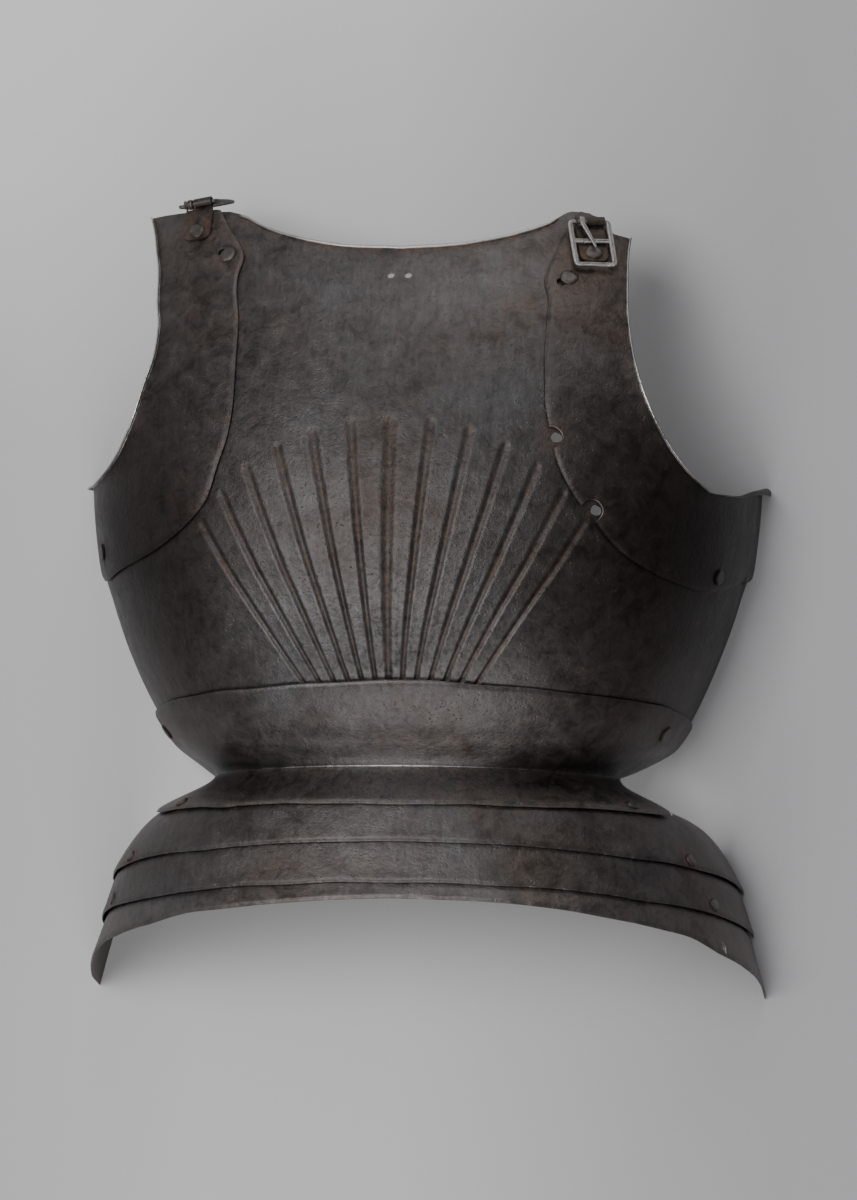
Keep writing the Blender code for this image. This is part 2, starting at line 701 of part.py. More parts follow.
def add_strap_set(side):
    """One shoulder: the hinge plate with its rivet, and the buckle and tongue on a shared hinge axis."""
    around, share = STRAP_EYES[side]
    lift = PLATE + LAYER_GAP + 2 * SEAT_GAP
    middle = station(share) - LEAF_LENGTH / 2
    frame = seat(around, middle, lift)
    turn = Matrix.Rotation(math.radians(STRAP_TURNS[side]), 4, "Z")
    rock = Matrix.Rotation(math.radians(STRAP_ROCKS[side]), 4, "Y")
    edge = Matrix.Translation((LEAF_WIDTH / 2, 0, 0))
    eye = frame @ turn @ edge @ rock @ edge.inverted() @ Matrix.Translation((0, LEAF_LENGTH / 2, EYE_RADIUS))
    strip = eye_and_leaf(LEAF_LENGTH, -EYE_RADIUS, LEAF_THICKNESS)
    leaf = side_on(outline_mesh("strap_plate_" + side, strip, LEAF_WIDTH))
    plate = add_object("strap_plate_" + side, leaf, PIECES, steel("strap_plate_" + side, WORN_STEEL, 0.4))
    plate.matrix_world = eye
    rivet_frame = eye @ Matrix.Translation((0, -LEAF_LENGTH * LEAF_RIVET_SHARE, -EYE_RADIUS))
    notch = eye @ Matrix.Translation((TONGUE_OFFSET, 0, 0))

    def add_notch(bm):
        width = TONGUE_WIDTH + 2 * TONGUE_PLAY
        size = Matrix.Diagonal((width, 2.6 * EYE_RADIUS, 4 * EYE_RADIUS, 1))
        forward = Matrix.Translation((0, 0.3 * EYE_RADIUS, 0))
        bmesh.ops.create_cube(bm, size=1.0, matrix=notch @ forward @ size)

    cut(plate, [add_notch, hole_tool(rivet_frame, SHANK_RADIUS + HOLE_CLEARANCE)])
    head = rivet_frame @ Matrix.Translation((0, 0, LEAF_THICKNESS))
    rise = (LEAF_WIDTH / 2 + TAIL_RADIUS) * math.sin(math.radians(STRAP_ROCKS[side]))
    grip = LEAF_THICKNESS + 2 * PLATE + LAYER_GAP + 6 * SEAT_GAP + rise
    add_rivet("strap_rivet_" + side, head, grip, RIVET_HEAD_RADIUS, steel("strap_rivet_" + side, WORN_STEEL, 0.4))

    swing = Matrix.Identity(4)
    if side == "left":
        lean = math.radians(BUCKLE_LEAN)
        down = eye.to_3x3().inverted() @ Vector((0, math.sin(lean), -math.cos(lean)))
        swing = Matrix.Rotation(math.atan2(-down.z, -down.y), 4, "X")
    hinge = eye @ swing
    half = BUCKLE_WIDTH / 2
    windows = (
        (-BUCKLE_MIDDLE + BAR / 2, -BAR / 2),
        (-BUCKLE_REACH + BUCKLE_SIDE_BAR / 2, -BUCKLE_MIDDLE - BAR / 2),
    )
    inner = half - BUCKLE_SIDE_BAR
    outline = [rounded_box(-half, half, -BUCKLE_REACH - BUCKLE_SIDE_BAR / 2, BAR / 2, BUCKLE_CORNER)]
    for bottom, top in windows:
        outline.append(rounded_box(-inner, inner, bottom, top, BUCKLE_CORNER))
    mesh = outline_mesh("buckle_" + side, outline, BAR)
    mesh.transform(Matrix.Translation((BUCKLE_OFFSET, 0, 0)))
    buckle = add_object("buckle_" + side, mesh, PIECES, steel("buckle_" + side, WORN_STEEL, 0.35))
    buckle.matrix_world = hinge
    tongue_bottom = EYE_RADIUS - TONGUE_THICKNESS
    pin = eye_and_leaf(TONGUE_LENGTH, tongue_bottom, TONGUE_THICKNESS, tongue_bottom - BAR / 2 - SEAT_GAP)
    mesh = side_on(outline_mesh("tongue_" + side, pin, TONGUE_WIDTH))
    for vertex in mesh.vertices:
        vertex.co.x += TONGUE_SLANT * max(0.0, -EYE_RADIUS - vertex.co.y)
    mesh.transform(Matrix.Translation((TONGUE_OFFSET, 0, 0)))
    tongue = add_object("tongue_" + side, mesh, PIECES, steel("tongue_" + side, WORN_STEEL, 0.35))
    tongue.matrix_world = hinge
    return rivet_frame


def slot_frame(upper, lower):
    """Frame of a slot whose rivet sits at its right end, and which runs square to the line to the lower rivet."""
    reach = upper.inverted() @ lower.translation
    turned = math.atan2(reach.x, -reach.y)
    return upper @ Matrix.Rotation(turned, 4, "Z") @ Matrix.Translation((-GUSSET_PLAY, 0, 0))


def build():
    plate_steel = steel("breastplate", PLATE_STEEL, 0.45)
    breastplate = add_plate("breastplate", breastplate_points(), plate_steel)
    strap_frames = {side: add_strap_set(side) for side in ("left", "right")}
    rivet_hole = SHANK_RADIUS + HOLE_CLEARANCE
    neck = station(NECK_EDGE[0][1])
    breast_tools = [floor_tool()]
    for sign in (-1, 1):
        across = sign * LACE_HOLE_SPACING / 2 / QUARTER_ARC
        breast_tools.append(hole_tool(seat(across, neck - LACE_HOLE_BELOW_NECK), LACE_HOLE_RADIUS))
    for around, share in OLD_HOLES:
        breast_tools.append(hole_tool(seat(around, station(share)), OLD_HOLE_RADIUS))

    for side, sign, edges in (("left", -1, GUSSET_LEFT_EDGES), ("right", 1, GUSSET_RIGHT_EDGES)):
        gusset_steel = steel("gusset_" + side, PLATE_STEEL, 0.45)
        gusset = add_plate("gusset_" + side, gusset_points(edges, sign), gusset_steel)
        upper = seat(UPPER_RIVETS[side][0], station(UPPER_RIVETS[side][1]), PLATE + LAYER_GAP)
        lower = seat(LOWER_RIVETS[side][0], station(LOWER_RIVETS[side][1]), PLATE + LAYER_GAP)
        grip = 2 * PLATE + LAYER_GAP + SEAT_GAP
        for level, frame in (("upper", upper), ("lower", lower)):
            name = "gusset_rivet_" + level + "_" + side
            add_rivet(name, frame, grip, RIVET_HEAD_RADIUS, steel(name, WORN_STEEL, 0.4))
            breast_tools.append(hole_tool(frame, rivet_hole))
        breast_tools.append(hole_tool(strap_frames[side], rivet_hole))
        gusset_tools = [
            floor_tool(),
            hole_tool(slot_frame(upper, lower), rivet_hole + SLOT_CLEARANCE, stretch=(GUSSET_PLAY, 0.0)),
            hole_tool(lower, rivet_hole),
            hole_tool(slot_frame(strap_frames[side], lower), rivet_hole + GUSSET_PLAY + SLOT_CLEARANCE),
        ]
        if side == "right":
            for around, share in OLD_HOLES:
                gusset_tools.append(hole_tool(seat(around - NOTCH_SHIFT, station(share)), NOTCH_RADIUS))
        cut(gusset, gusset_tools)

    waist_steel = steel("waist_plate", PLATE_STEEL, 0.42)
    waist = add_plate("waist_plate", waist_plate_points(), waist_steel)
    waist_tools = [floor_tool()]
    lames = []
    lame_tools = []
    for number in range(3):
        name = "fauld_lame_" + str(number + 1)
        lames.append(add_plate(name, lame_points(number), steel(name, PLATE_STEEL, 0.42)))
        lame_tools.append([floor_tool()])
    for side, sign in (("left", -1), ("right", 1)):
        around, share = WAIST_RIVET
        frame = seat(sign * around, station(share), PLATE + LAYER_GAP)
        name = "waist_rivet_" + side
        add_rivet(name, frame, 2 * PLATE + LAYER_GAP + SEAT_GAP, RIVET_HEAD_RADIUS, steel(name, WORN_STEEL, 0.4))
        waist_tools.append(hole_tool(frame, rivet_hole))
        breast_tools.append(hole_tool(frame, rivet_hole))
        for number, (around, share) in enumerate(FAULD_RIVETS):
            lift = PLATE + LAYER_GAP - number * (PLATE + LAME_GAP)
            frame = seat(sign * around, fauld_station(share), lift)
            name = "fauld_rivet_" + str(number + 1) + "_" + side
            grip = 2 * PLATE + LAME_GAP + SEAT_GAP
            add_rivet(name, frame, grip, SMALL_HEAD_RADIUS, steel(name, WORN_STEEL, 0.4))
            outer_tools = waist_tools if number == 0 else lame_tools[number - 1]
            outer_tools.append(hole_tool(frame, rivet_hole))
            lame_tools[number].append(hole_tool(frame, rivet_hole))
    diamond = seat(DIAMOND[0], fauld_station(DIAMOND[1]), -3 * PLATE)
    lame_tools[2].append(diamond_tool(diamond, DIAMOND_HALF_WIDTH, DIAMOND_HALF_HEIGHT))
    cut(breastplate, breast_tools)
    cut(waist, waist_tools)
    for lame, tools in zip(lames, lame_tools):
        cut(lame, tools)


build()
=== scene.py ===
"""Looks of the fluted steel breastplate: finely worked plates, fittings and their aged steel, on a pale floor.

Every plate is a surface in body coordinates, as the solids are: "around" runs from 0 on the centre line to 1
at the side edge on the floor, and "along" is the height on the centre line, in metres.
"""

import math

import bmesh
import bpy
import numpy as np
from mathutils import Matrix, Vector


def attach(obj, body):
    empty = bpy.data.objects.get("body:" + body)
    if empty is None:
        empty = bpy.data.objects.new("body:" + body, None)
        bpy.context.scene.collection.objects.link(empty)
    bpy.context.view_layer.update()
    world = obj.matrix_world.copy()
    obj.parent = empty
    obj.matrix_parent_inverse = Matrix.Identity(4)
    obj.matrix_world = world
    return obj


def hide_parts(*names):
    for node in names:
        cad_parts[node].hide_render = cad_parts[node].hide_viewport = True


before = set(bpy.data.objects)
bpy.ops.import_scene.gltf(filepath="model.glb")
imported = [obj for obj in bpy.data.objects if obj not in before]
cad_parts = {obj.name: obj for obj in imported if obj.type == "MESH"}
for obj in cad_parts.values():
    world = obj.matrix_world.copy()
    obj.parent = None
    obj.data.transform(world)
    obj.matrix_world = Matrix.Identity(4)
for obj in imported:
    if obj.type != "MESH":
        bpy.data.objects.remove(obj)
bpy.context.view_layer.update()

# Sizes of the body
BREAST_LENGTH = 0.3214
FAULD_LENGTH = 0.141
FAULD_CREST_LENGTH = 0.070
CHEST_HALF_WIDTH = 0.198
WAIST_HALF_WIDTH = 0.125
FAULD_HALF_WIDTH = 0.209
BELLY_DEPTH = 0.178
WAIST_DEPTH = 0.142
FAULD_DEPTH = 0.172
WAIST_DROP = 0.017
FAULD_ARCH = 0.071
SECTION_FULLNESS = 0.2
MIDDLE_OFFSET = 0.0032
PLATE = 0.0015
LAYER_GAP = 0.0011
LAME_GAP = 0.0015
SEAT_GAP = 0.0003
WAIST_PLATE_HEIGHT = 0.050
WAIST_OVERLAP = 0.027
FOOT_FALL = 0.009
WAIST_CREASE_SHARE = 0.72
WAIST_UPPER_RISE = 0.026
WAIST_UPPER_POWER = 1.3
FLANGE_SHARE = 0.309
LAME_OVERLAP = 0.010

SHOULDER_Y = (BREAST_LENGTH + FAULD_LENGTH) / 2 - MIDDLE_OFFSET
CREASE_Y = SHOULDER_Y - BREAST_LENGTH
QUARTER_ARC = CHEST_HALF_WIDTH * math.pi / 2 * 0.96

# Flutes: a fan of hollow channels
FLUTE_COUNT = 13
FLUTE_PITCH = math.radians(5.3)
FLUTE_DEPTH = 0.0012
FLUTE_FAN_Y = CREASE_Y - 0.0426
FLUTE_TOP_RADIUS = 0.240
FLUTE_TOP_FALL = 0.00075
FLUTE_HALF_WIDTHS = ((0.080, 0.0016), (0.240, 0.0030))

# Length share below the shoulder, shares of chest half width and belly depth
BREAST_SECTIONS = (
    (0.000, 0.889, 0.539),
    (0.081, 0.929, 0.646),
    (0.230, 0.975, 0.803),
    (0.389, 1.000, 0.916),
    (0.529, 0.995, 0.978),
    (0.647, 0.975, 1.000),
    (0.713, 0.944, 1.000),
    (0.797, 0.899, 0.983),
    (0.862, 0.854, 0.944),
    (0.921, 0.798, 0.888),
    (0.952, 0.753, 0.848),
)
BREAST_DROPS = ((0.80, 0.00), (0.862, 0.06), (0.921, 0.24), (0.952, 0.47))

# Share of the fauld's crest below the crease, shares of its half width, depth and side arch
FAULD_SECTIONS = (
    (0.309, 0.789, 0.884, 0.282),
    (0.594, 0.909, 0.930, 0.549),
    (0.894, 0.952, 0.977, 0.606),
    (1.000, 1.000, 1.000, 1.000),
)
NECK_EDGE = ((0.00, 0.0800), (0.10, 0.0755), (0.20, 0.0620), (0.30, 0.0370), (0.36, 0.0150))
NECK_ENDS = {-1: (0.410, 0.0050), 1: (0.404, 0.0180)}
ARM_EDGES = {
    -1: (
        (0.56, 0.0060),
        (0.52, 0.0930),
        (0.47, 0.2300),
        (0.46, 0.3760),
        (0.50, 0.4800),
        (0.62, 0.5480),
        (0.80, 0.5980),
        (1.00, 0.6280),
    ),
    1: (
        (0.405, 0.0185),
        (0.425, 0.0390),
        (0.440, 0.0680),
        (0.440, 0.2300),
        (0.455, 0.3760),
        (0.50, 0.4800),
        (0.62, 0.5480),
        (0.80, 0.5980),
        (1.00, 0.6280),
    ),
}

# Gussets from the shoulder to the side: seam around and length share, rim around and length share
GUSSET_EDGES = {
    -1: (
        (0.432, 0.005, 0.674, 0.011),
        (0.402, 0.031, 0.630, 0.040),
        (0.358, 0.072, 0.590, 0.081),
        (0.344, 0.106, 0.560, 0.124),
        (0.336, 0.152, 0.540, 0.174),
        (0.317, 0.221, 0.518, 0.224),
        (0.311, 0.289, 0.512, 0.274),
        (0.307, 0.355, 0.522, 0.324),
        (0.313, 0.411, 0.535, 0.373),
        (0.335, 0.473, 0.562, 0.417),
        (0.358, 0.529, 0.610, 0.457),
        (0.420, 0.582, 0.680, 0.485),
        (0.510, 0.622, 0.770, 0.501),
        (0.640, 0.652, 0.860, 0.504),
        (0.800, 0.674, 0.940, 0.501),
        (1.000, 0.661, 1.000, 0.498),
    ),
    1: (
        (0.375, 0.018, 0.488, 0.068),
        (0.345, 0.047, 0.478, 0.093),
        (0.318, 0.084, 0.470, 0.131),
        (0.303, 0.118, 0.464, 0.168),
        (0.297, 0.168, 0.460, 0.212),
        (0.289, 0.230, 0.461, 0.252),
        (0.284, 0.292, 0.465, 0.296),
        (0.284, 0.355, 0.474, 0.339),
        (0.293, 0.408, 0.492, 0.380),
        (0.310, 0.467, 0.520, 0.420),
        (0.345, 0.526, 0.565, 0.464),
        (0.395, 0.576, 0.620, 0.498),
        (0.460, 0.628, 0.690, 0.523),
        (0.570, 0.670, 0.780, 0.526),
        (0.740, 0.694, 0.880, 0.517),
        (1.000, 0.668, 1.000, 0.513),
    ),
}
WAIST_SIDE = (
    (0.00, 0.985),
    (0.28, 0.990),
    (0.42, 0.950),
    (0.60, 0.870),
    (0.72, 0.800),
    (0.86, 0.745),
    (1.00, 0.735),
)
LAME_LOWER_EDGES = (0.594, 0.894, 1.000)
LAME_1_SHOULDER = ((0.00, 0.720), (0.35, 0.860), (0.60, 0.960), (0.75, 1.000))

# Places in body coordinates, around and length share, and what sits there
UPPER_RIVETS = {-1: (-0.372, 0.094), 1: (0.338, 0.144)}
LOWER_RIVETS = {-1: (-0.745, 0.622), 1: (0.745, 0.667)}
STRAP_EYES = {-1: (-0.4765, -0.0065), 1: (0.394, 0.040)}
STRAP_TURNS = {-1: 13.0, 1: 3.0}
STRAP_ROCKS = {-1: 8.0, 1: 0.0}
NOTCH_SHIFT = 0.010
OLD_HOLES = ((0.309, 0.427), (0.395, 0.554))
LOBE_REACH = 0.012
LOBE_LENGTH = 0.026
FAULD_RIVETS = ((0.600, 0.270), (0.673, 0.555), (0.728, 0.835))
WAIST_RIVET = (0.775, 0.936)
DIAMOND = (0.720, 0.985)
SIDE_NAMES = {-1: "left", 1: "right"}

# Straps, buckles and rivets
LEAF_LENGTH = 0.0260
LEAF_WIDTH = 0.0164
LEAF_THICKNESS = 0.0012
EYE_RADIUS = 0.00285
EYE_HOLE_RADIUS = 0.00185
BAR = 0.0022
BUCKLE_WIDTH = 0.0252
BUCKLE_REACH = 0.0300
BUCKLE_MIDDLE = 0.0136
BUCKLE_SIDE_BAR = 0.0030
TONGUE_WIDTH = 0.0028
TONGUE_LENGTH = 0.0190
TONGUE_THICKNESS = 0.0012
TONGUE_OFFSET = -0.0050
TONGUE_SLANT = 0.35
TONGUE_PLAY = 0.0012
BUCKLE_OFFSET = -0.0006
BUCKLE_LEAN = 2.0
GUSSET_PLAY = 0.0028
NOTCH_RADIUS = 0.0062
BUCKLE_HALF_BAR = 0.0013
BUCKLE_MIDDLE_HALF_BAR = 0.00145
BUCKLE_CORNER = 0.0016
LEAF_CORNER = 0.0045
STRAP_RIVET_SHARE = 0.77
RIVET_HOLE_RADIUS = 0.0022
RIVET_SHANK_RADIUS = 0.0018
RIVET_TAIL_RADIUS = 0.0032
RIVET_DOME = 0.0014 * 0.92
HEAD_RADIUS = 0.0050
FAULD_HEAD_RADIUS = 0.0040
LACE_HOLE_RADIUS = 0.0021
OLD_HOLE_RADIUS = 0.0030
PIN_HOLE_RADIUS = 0.0028
DIAMOND_OUTLINE = ((0.0024, 0), (0, 0.004), (-0.0024, 0), (0, -0.004))

# Wear
# Polish at the plates' side ends: partly wear, partly a painted highlight on the lit cut ends
END_WEAR_AND_HIGHLIGHT_REACH = 0.0030
NECK_BEAD_RADIUS = 0.0012
CURL_ROWS = 15


def smooth(at, knots, values):
    """A monotone cubic through the knots, carried on straight past both ends."""
    order = np.argsort(knots)
    x = np.asarray(knots, float)[order]
    y = np.asarray(values, float)[order]
    at = np.asarray(at, float)
    rise = np.diff(y) / np.diff(x)
    slope = np.concatenate([rise[:1], np.zeros(len(x) - 2), rise[-1:]])
    same = rise[1:] * rise[:-1] > 0
    total = np.where(same, rise[1:] + rise[:-1], 1.0)
    slope[1:-1] = np.where(same, 2 * rise[1:] * rise[:-1] / total, 0.0)
    i = np.clip(np.searchsorted(x, at) - 1, 0, len(x) - 2)
    h = x[i + 1] - x[i]
    u = (at - x[i]) / h
    inside = (
        (2 * u**3 - 3 * u**2 + 1) * y[i]
        + (u**3 - 2 * u**2 + u) * h * slope[i]
        + (3 * u**2 - 2 * u**3) * y[i + 1]
        + (u**3 - u**2) * h * slope[i + 1]
    )
    before = y[0] + slope[0] * (at - x[0])
    after = y[-1] + slope[-1] * (at - x[-1])
    return np.where(at < x[0], before, np.where(at > x[-1], after, inside))


def soft_step(value, low, high):
    """0 below low, 1 above high and a smooth cubic between."""
    share = np.clip((value - low) / (high - low), 0, 1)
    return share * share * (3 - 2 * share)


def station(length_share):
    """Height on the centre line of a length share of the breast below the shoulder."""
    return SHOULDER_Y - np.asarray(length_share, float) * BREAST_LENGTH


def fauld_station(crest_share):
    return CREASE_Y - np.asarray(crest_share, float) * FAULD_CREST_LENGTH


def section_tables():
    breast = np.array(BREAST_SECTIONS)
    drops = np.array(BREAST_DROPS)
    fauld = np.array(FAULD_SECTIONS)
    heights = np.concatenate([station(breast[:, 0]), [CREASE_Y], fauld_station(fauld[:, 0])])
    fauld_widths = fauld[:, 1] * FAULD_HALF_WIDTH
    widths = np.concatenate([breast[:, 1] * CHEST_HALF_WIDTH, [WAIST_HALF_WIDTH], fauld_widths])
    depths = np.concatenate([breast[:, 2] * BELLY_DEPTH, [WAIST_DEPTH], fauld[:, 2] * FAULD_DEPTH])
    drop_heights = [[SHOULDER_Y], station(drops[:, 0]), [CREASE_Y], fauld_station(fauld[:, 0])]
    drop_heights = np.concatenate(drop_heights)
    sunk = np.concatenate([[0.0], drops[:, 1] * WAIST_DROP, [WAIST_DROP], fauld[:, 3] * FAULD_ARCH])
    return heights, widths, depths, drop_heights, sunk


HEIGHTS, WIDTHS, DEPTHS, DROP_HEIGHTS, DROPS = section_tables()


def bare_surface(around, along):
    """Each section is a half ellipse, a little fuller than round, whose stations sink towards the sides:
    x = half width sin(angle), y = along - drop around squared and
    z = depth cos(angle) (1 + fullness sin(angle) squared).
    """
    angle = np.asarray(around, float) * math.pi / 2
    x = smooth(along, HEIGHTS, WIDTHS) * np.sin(angle)
    y = along - smooth(along, DROP_HEIGHTS, DROPS) * np.square(around)
    z = smooth(along, HEIGHTS, DEPTHS) * np.cos(angle) * (1 + SECTION_FULLNESS * np.sin(angle) ** 2)
    return np.stack(np.broadcast_arrays(x, y, z), axis=-1)


def unit(vectors):
    return vectors / np.linalg.norm(vectors, axis=-1, keepdims=True)


def body_normal(around, along):
    step = 0.0005
    across = bare_surface(around + step, along) - bare_surface(around - step, along)
    up = bare_surface(around, along + step) - bare_surface(around, along - step)
    return unit(np.cross(across, up))


def body_surface(around, along, lift=0.0):
    """The body's surface, lifted square to itself."""
    around, along = np.broadcast_arrays(np.asarray(around, float), np.asarray(along, float))
    return bare_surface(around, along) + np.asarray(lift, float)[..., None] * body_normal(around, along)


def seat(around, along, lift=0.0):
    """The frame of a fitting on the body: Z out of the plate, Y up the plate, X across it."""
    step = 0.001
    point = body_surface(around, along, lift)
    across = body_surface(around + step, along, lift) - point
    up = body_surface(around, along + step, lift) - point
    normal = Vector(np.cross(across, up)).normalized()
    rise = Vector(up).normalized()
    side = rise.cross(normal).normalized()
    place = Matrix.Identity(4)
    for column, axis in enumerate((side, rise, normal, Vector(point))):
        for row in range(3):
            place[row][column] = axis[row]
    return place


def clouds(across, along, size, seed):
    """Smooth value noise from -1 to 1: random heights on a square lattice, blended by a cubic step both ways."""
    heights = np.random.default_rng(seed).uniform(-1, 1, (97, 97))
    u = np.asarray(across) / size + 500
    v = np.asarray(along) / size + 500
    i, j = np.floor(u).astype(int), np.floor(v).astype(int)
    a, b = u - i, v - j
    a, b = a * a * (3 - 2 * a), b * b * (3 - 2 * b)
    i, j = i % 96, j % 96
    low = heights[i, j] * (1 - a) + heights[i + 1, j] * a
    high = heights[i, j + 1] * (1 - a) + heights[i + 1, j + 1] * a
    return low * (1 - b) + high * b


def hammering(around, along, seed, height=0.00028):
    """Uneven hammer work: three sizes of clouds, the finest the lowest."""
    x = np.asarray(around) * QUARTER_ARC
    middle = 0.55 * clouds(x, along, 0.017, seed + 1)
    return height * (clouds(x, along, 0.042, seed) + middle + 0.22 * clouds(x, along, 0.007, seed + 2))


def distances_to_edges(points):
    """Distance of each grid point from the first and last row and the first and last column, along the grid."""
    rows = np.linalg.norm(np.diff(points, axis=0), axis=-1)
    columns = np.linalg.norm(np.diff(points, axis=1), axis=-1)
    up = np.concatenate([np.zeros_like(points[:1, :, 0]), np.cumsum(rows, axis=0)])
    right = np.concatenate([np.zeros_like(points[:, :1, 0]), np.cumsum(columns, axis=1)], axis=1)
    return up, up[-1:] - up, right, right[:, -1:] - right


def edge_wear(points, weights, reach=0.0011):
    """Polish along the four edges: a bell of that reach from each edge, times the edge's weight."""
    wear = np.zeros(points.shape[:2])
    for distance, weight in zip(distances_to_edges(points), weights):
        wear = np.maximum(wear, np.broadcast_to(weight, wear.shape) * np.exp(-np.square(distance / reach)))
    return wear


def plate_shell(name, outer, inner, marks):
    """A closed wall between two grids of points. The edge has a third row of points half way, pushed out a
    little so that it is round. marks holds polish, rust, ridge and stain, from 0 to 1, for each outer point."""
    rows, columns = outer.shape[:2]
    count = rows * columns
    index = np.arange(count).reshape(rows, columns)
    ring = np.concatenate([index[0, :-1], index[:-1, -1], index[-1, :0:-1], index[:0:-1, 0]])
    flat_outer = outer.reshape(-1, 3)
    flat_inner = inner.reshape(-1, 3)
    before = np.concatenate([index[1, :-1], index[:-1, -2], index[-2, :0:-1], index[:0:-1, 1]])
    push = unit(flat_outer[ring] - flat_outer[before])
    wall = np.linalg.norm(flat_outer[ring] - flat_inner[ring], axis=1, keepdims=True)
    middle = (flat_outer[ring] + flat_inner[ring]) / 2 + 0.28 * wall * push
    points = np.concatenate([flat_outer, flat_inner, middle])
    a, b, c, d = index[:-1, :-1], index[:-1, 1:], index[1:, 1:], index[1:, :-1]
    outside = np.stack([a, b, c, d], axis=-1).reshape(-1, 4)
    inside = outside[:, ::-1] + count
    rim = 2 * count + np.arange(len(ring))
    following = np.roll(ring, -1)
    rim_following = np.roll(rim, -1)
    lip = np.stack([ring, rim, rim_following, following], axis=-1)
    back = np.stack([rim, ring + count, following + count, rim_following], axis=-1)
    faces = np.concatenate([outside, inside, lip, back])
    flat_marks = marks.reshape(-1, 4)
    edge_marks = flat_marks[ring] * (1.0, 0.5, 0.0, 1.0)
    hidden = flat_marks * (0.0, 0.6, 0.0, 0.5)
    hidden[ring] = edge_marks * (0.6, 1, 1, 1)
    return add_mesh(name, points, faces.tolist(), np.concatenate([flat_marks, hidden, edge_marks]))


def add_mesh(name, points, faces, marks):
    """A mesh object with its marks kept as a colour on each face corner. Points under the floor go onto it."""
    points = points.copy()
    points[:, 2] = np.maximum(points[:, 2], 0.0)
    mesh = bpy.data.meshes.new(name)
    mesh.from_pydata(points.tolist(), [], faces)
    layer = mesh.attributes.new("marks", "FLOAT_COLOR", "CORNER")
    corners = np.empty(len(mesh.loops), np.int32)
    mesh.loops.foreach_get("vertex_index", corners)
    layer.data.foreach_set("color", np.clip(marks, 0, 1)[corners].astype(np.float32).reshape(-1))
    mesh.update()
    piece = bpy.data.objects.new(name, mesh)
    bpy.context.scene.collection.objects.link(piece)
    return piece


def smooth_shading(piece, angle=40):
    piece.data.shade_smooth()
    piece.data.set_sharp_from_angle(angle=math.radians(angle))


def cut_holes(piece, tools):
    """Cuts the piece with closed prisms, and keeps only the result. A prism is its frame and its outline."""
    bm = bmesh.new()
    for place, outline in tools:
        lower = [bm.verts.new(place @ Vector((x, y, -0.008))) for x, y in outline]
        upper = [bm.verts.new(place @ Vector((x, y, 0.008))) for x, y in outline]
        bm.faces.new(lower[::-1])
        bm.faces.new(upper)
        for i in range(len(outline)):
            j = (i + 1) % len(outline)
            bm.faces.new((lower[i], lower[j], upper[j], upper[i]))
    mesh = bpy.data.meshes.new(piece.name + "_cuts")
    bm.to_mesh(mesh)
    bm.free()
    cutter = bpy.data.objects.new(piece.name + "_cuts", mesh)
    bpy.context.scene.collection.objects.link(cutter)
    holes = piece.modifiers.new("cuts", "BOOLEAN")
    holes.operation = "DIFFERENCE"
    holes.object = cutter
    bpy.context.view_layer.update()
    graph = bpy.context.evaluated_depsgraph_get()
    cut_mesh = bpy.data.meshes.new_from_object(piece.evaluated_get(graph))
    piece.modifiers.clear()
    whole = piece.data
    piece.data = cut_mesh
    bpy.data.meshes.remove(whole)
    bpy.data.objects.remove(cutter, do_unlink=True)
    bpy.data.meshes.remove(mesh)


def round_outline(radius, stretch=0.0, count=28, rough=0.0, seed=0):
    """A circle, pulled apart along X into a slot, with a wavy edge where it is rough."""
    angles = np.linspace(0, 2 * math.pi, count, endpoint=False)
    waves = np.random.default_rng(seed).uniform(-math.pi, math.pi, 4)
    wobble = sum(np.sin((i + 2) * angles + phase) / (i + 1.5) for i, phase in enumerate(waves))
    size = radius * (1 + rough * wobble)
    x = size * np.cos(angles) + stretch * np.sign(np.cos(angles).round(6))
    return list(zip(x.tolist(), (size * np.sin(angles)).tolist()))


def dense_edge(points, count=400):
    knots = np.array(points, float)
    at = np.linspace(0, len(knots) - 1, count)
    index = np.arange(len(knots))
    return smooth(at, index, knots[:, 0]), smooth(at, index, knots[:, 1])


def column_ends(edge_around, edge_along, bearings, outer):
    """Where the rays of the flute fan cross an edge, and then the places given by outer on the rest of it."""
    across = edge_around * QUARTER_ARC
    bearing = np.arctan2(across, edge_along - FLUTE_FAN_Y)
    length = np.concatenate([[0.0], np.cumsum(np.hypot(np.diff(across), np.diff(edge_along)))])
    crossings = np.interp(bearings, bearing, length)
    at = np.concatenate([crossings, crossings[-1] + (length[-1] - crossings[-1]) * outer])
    return np.interp(at, length, edge_around), np.interp(at, length, edge_along)


def waist_upper_edge(around):
    return CREASE_Y + WAIST_PLATE_HEIGHT - WAIST_UPPER_RISE * np.abs(around) ** WAIST_UPPER_POWER


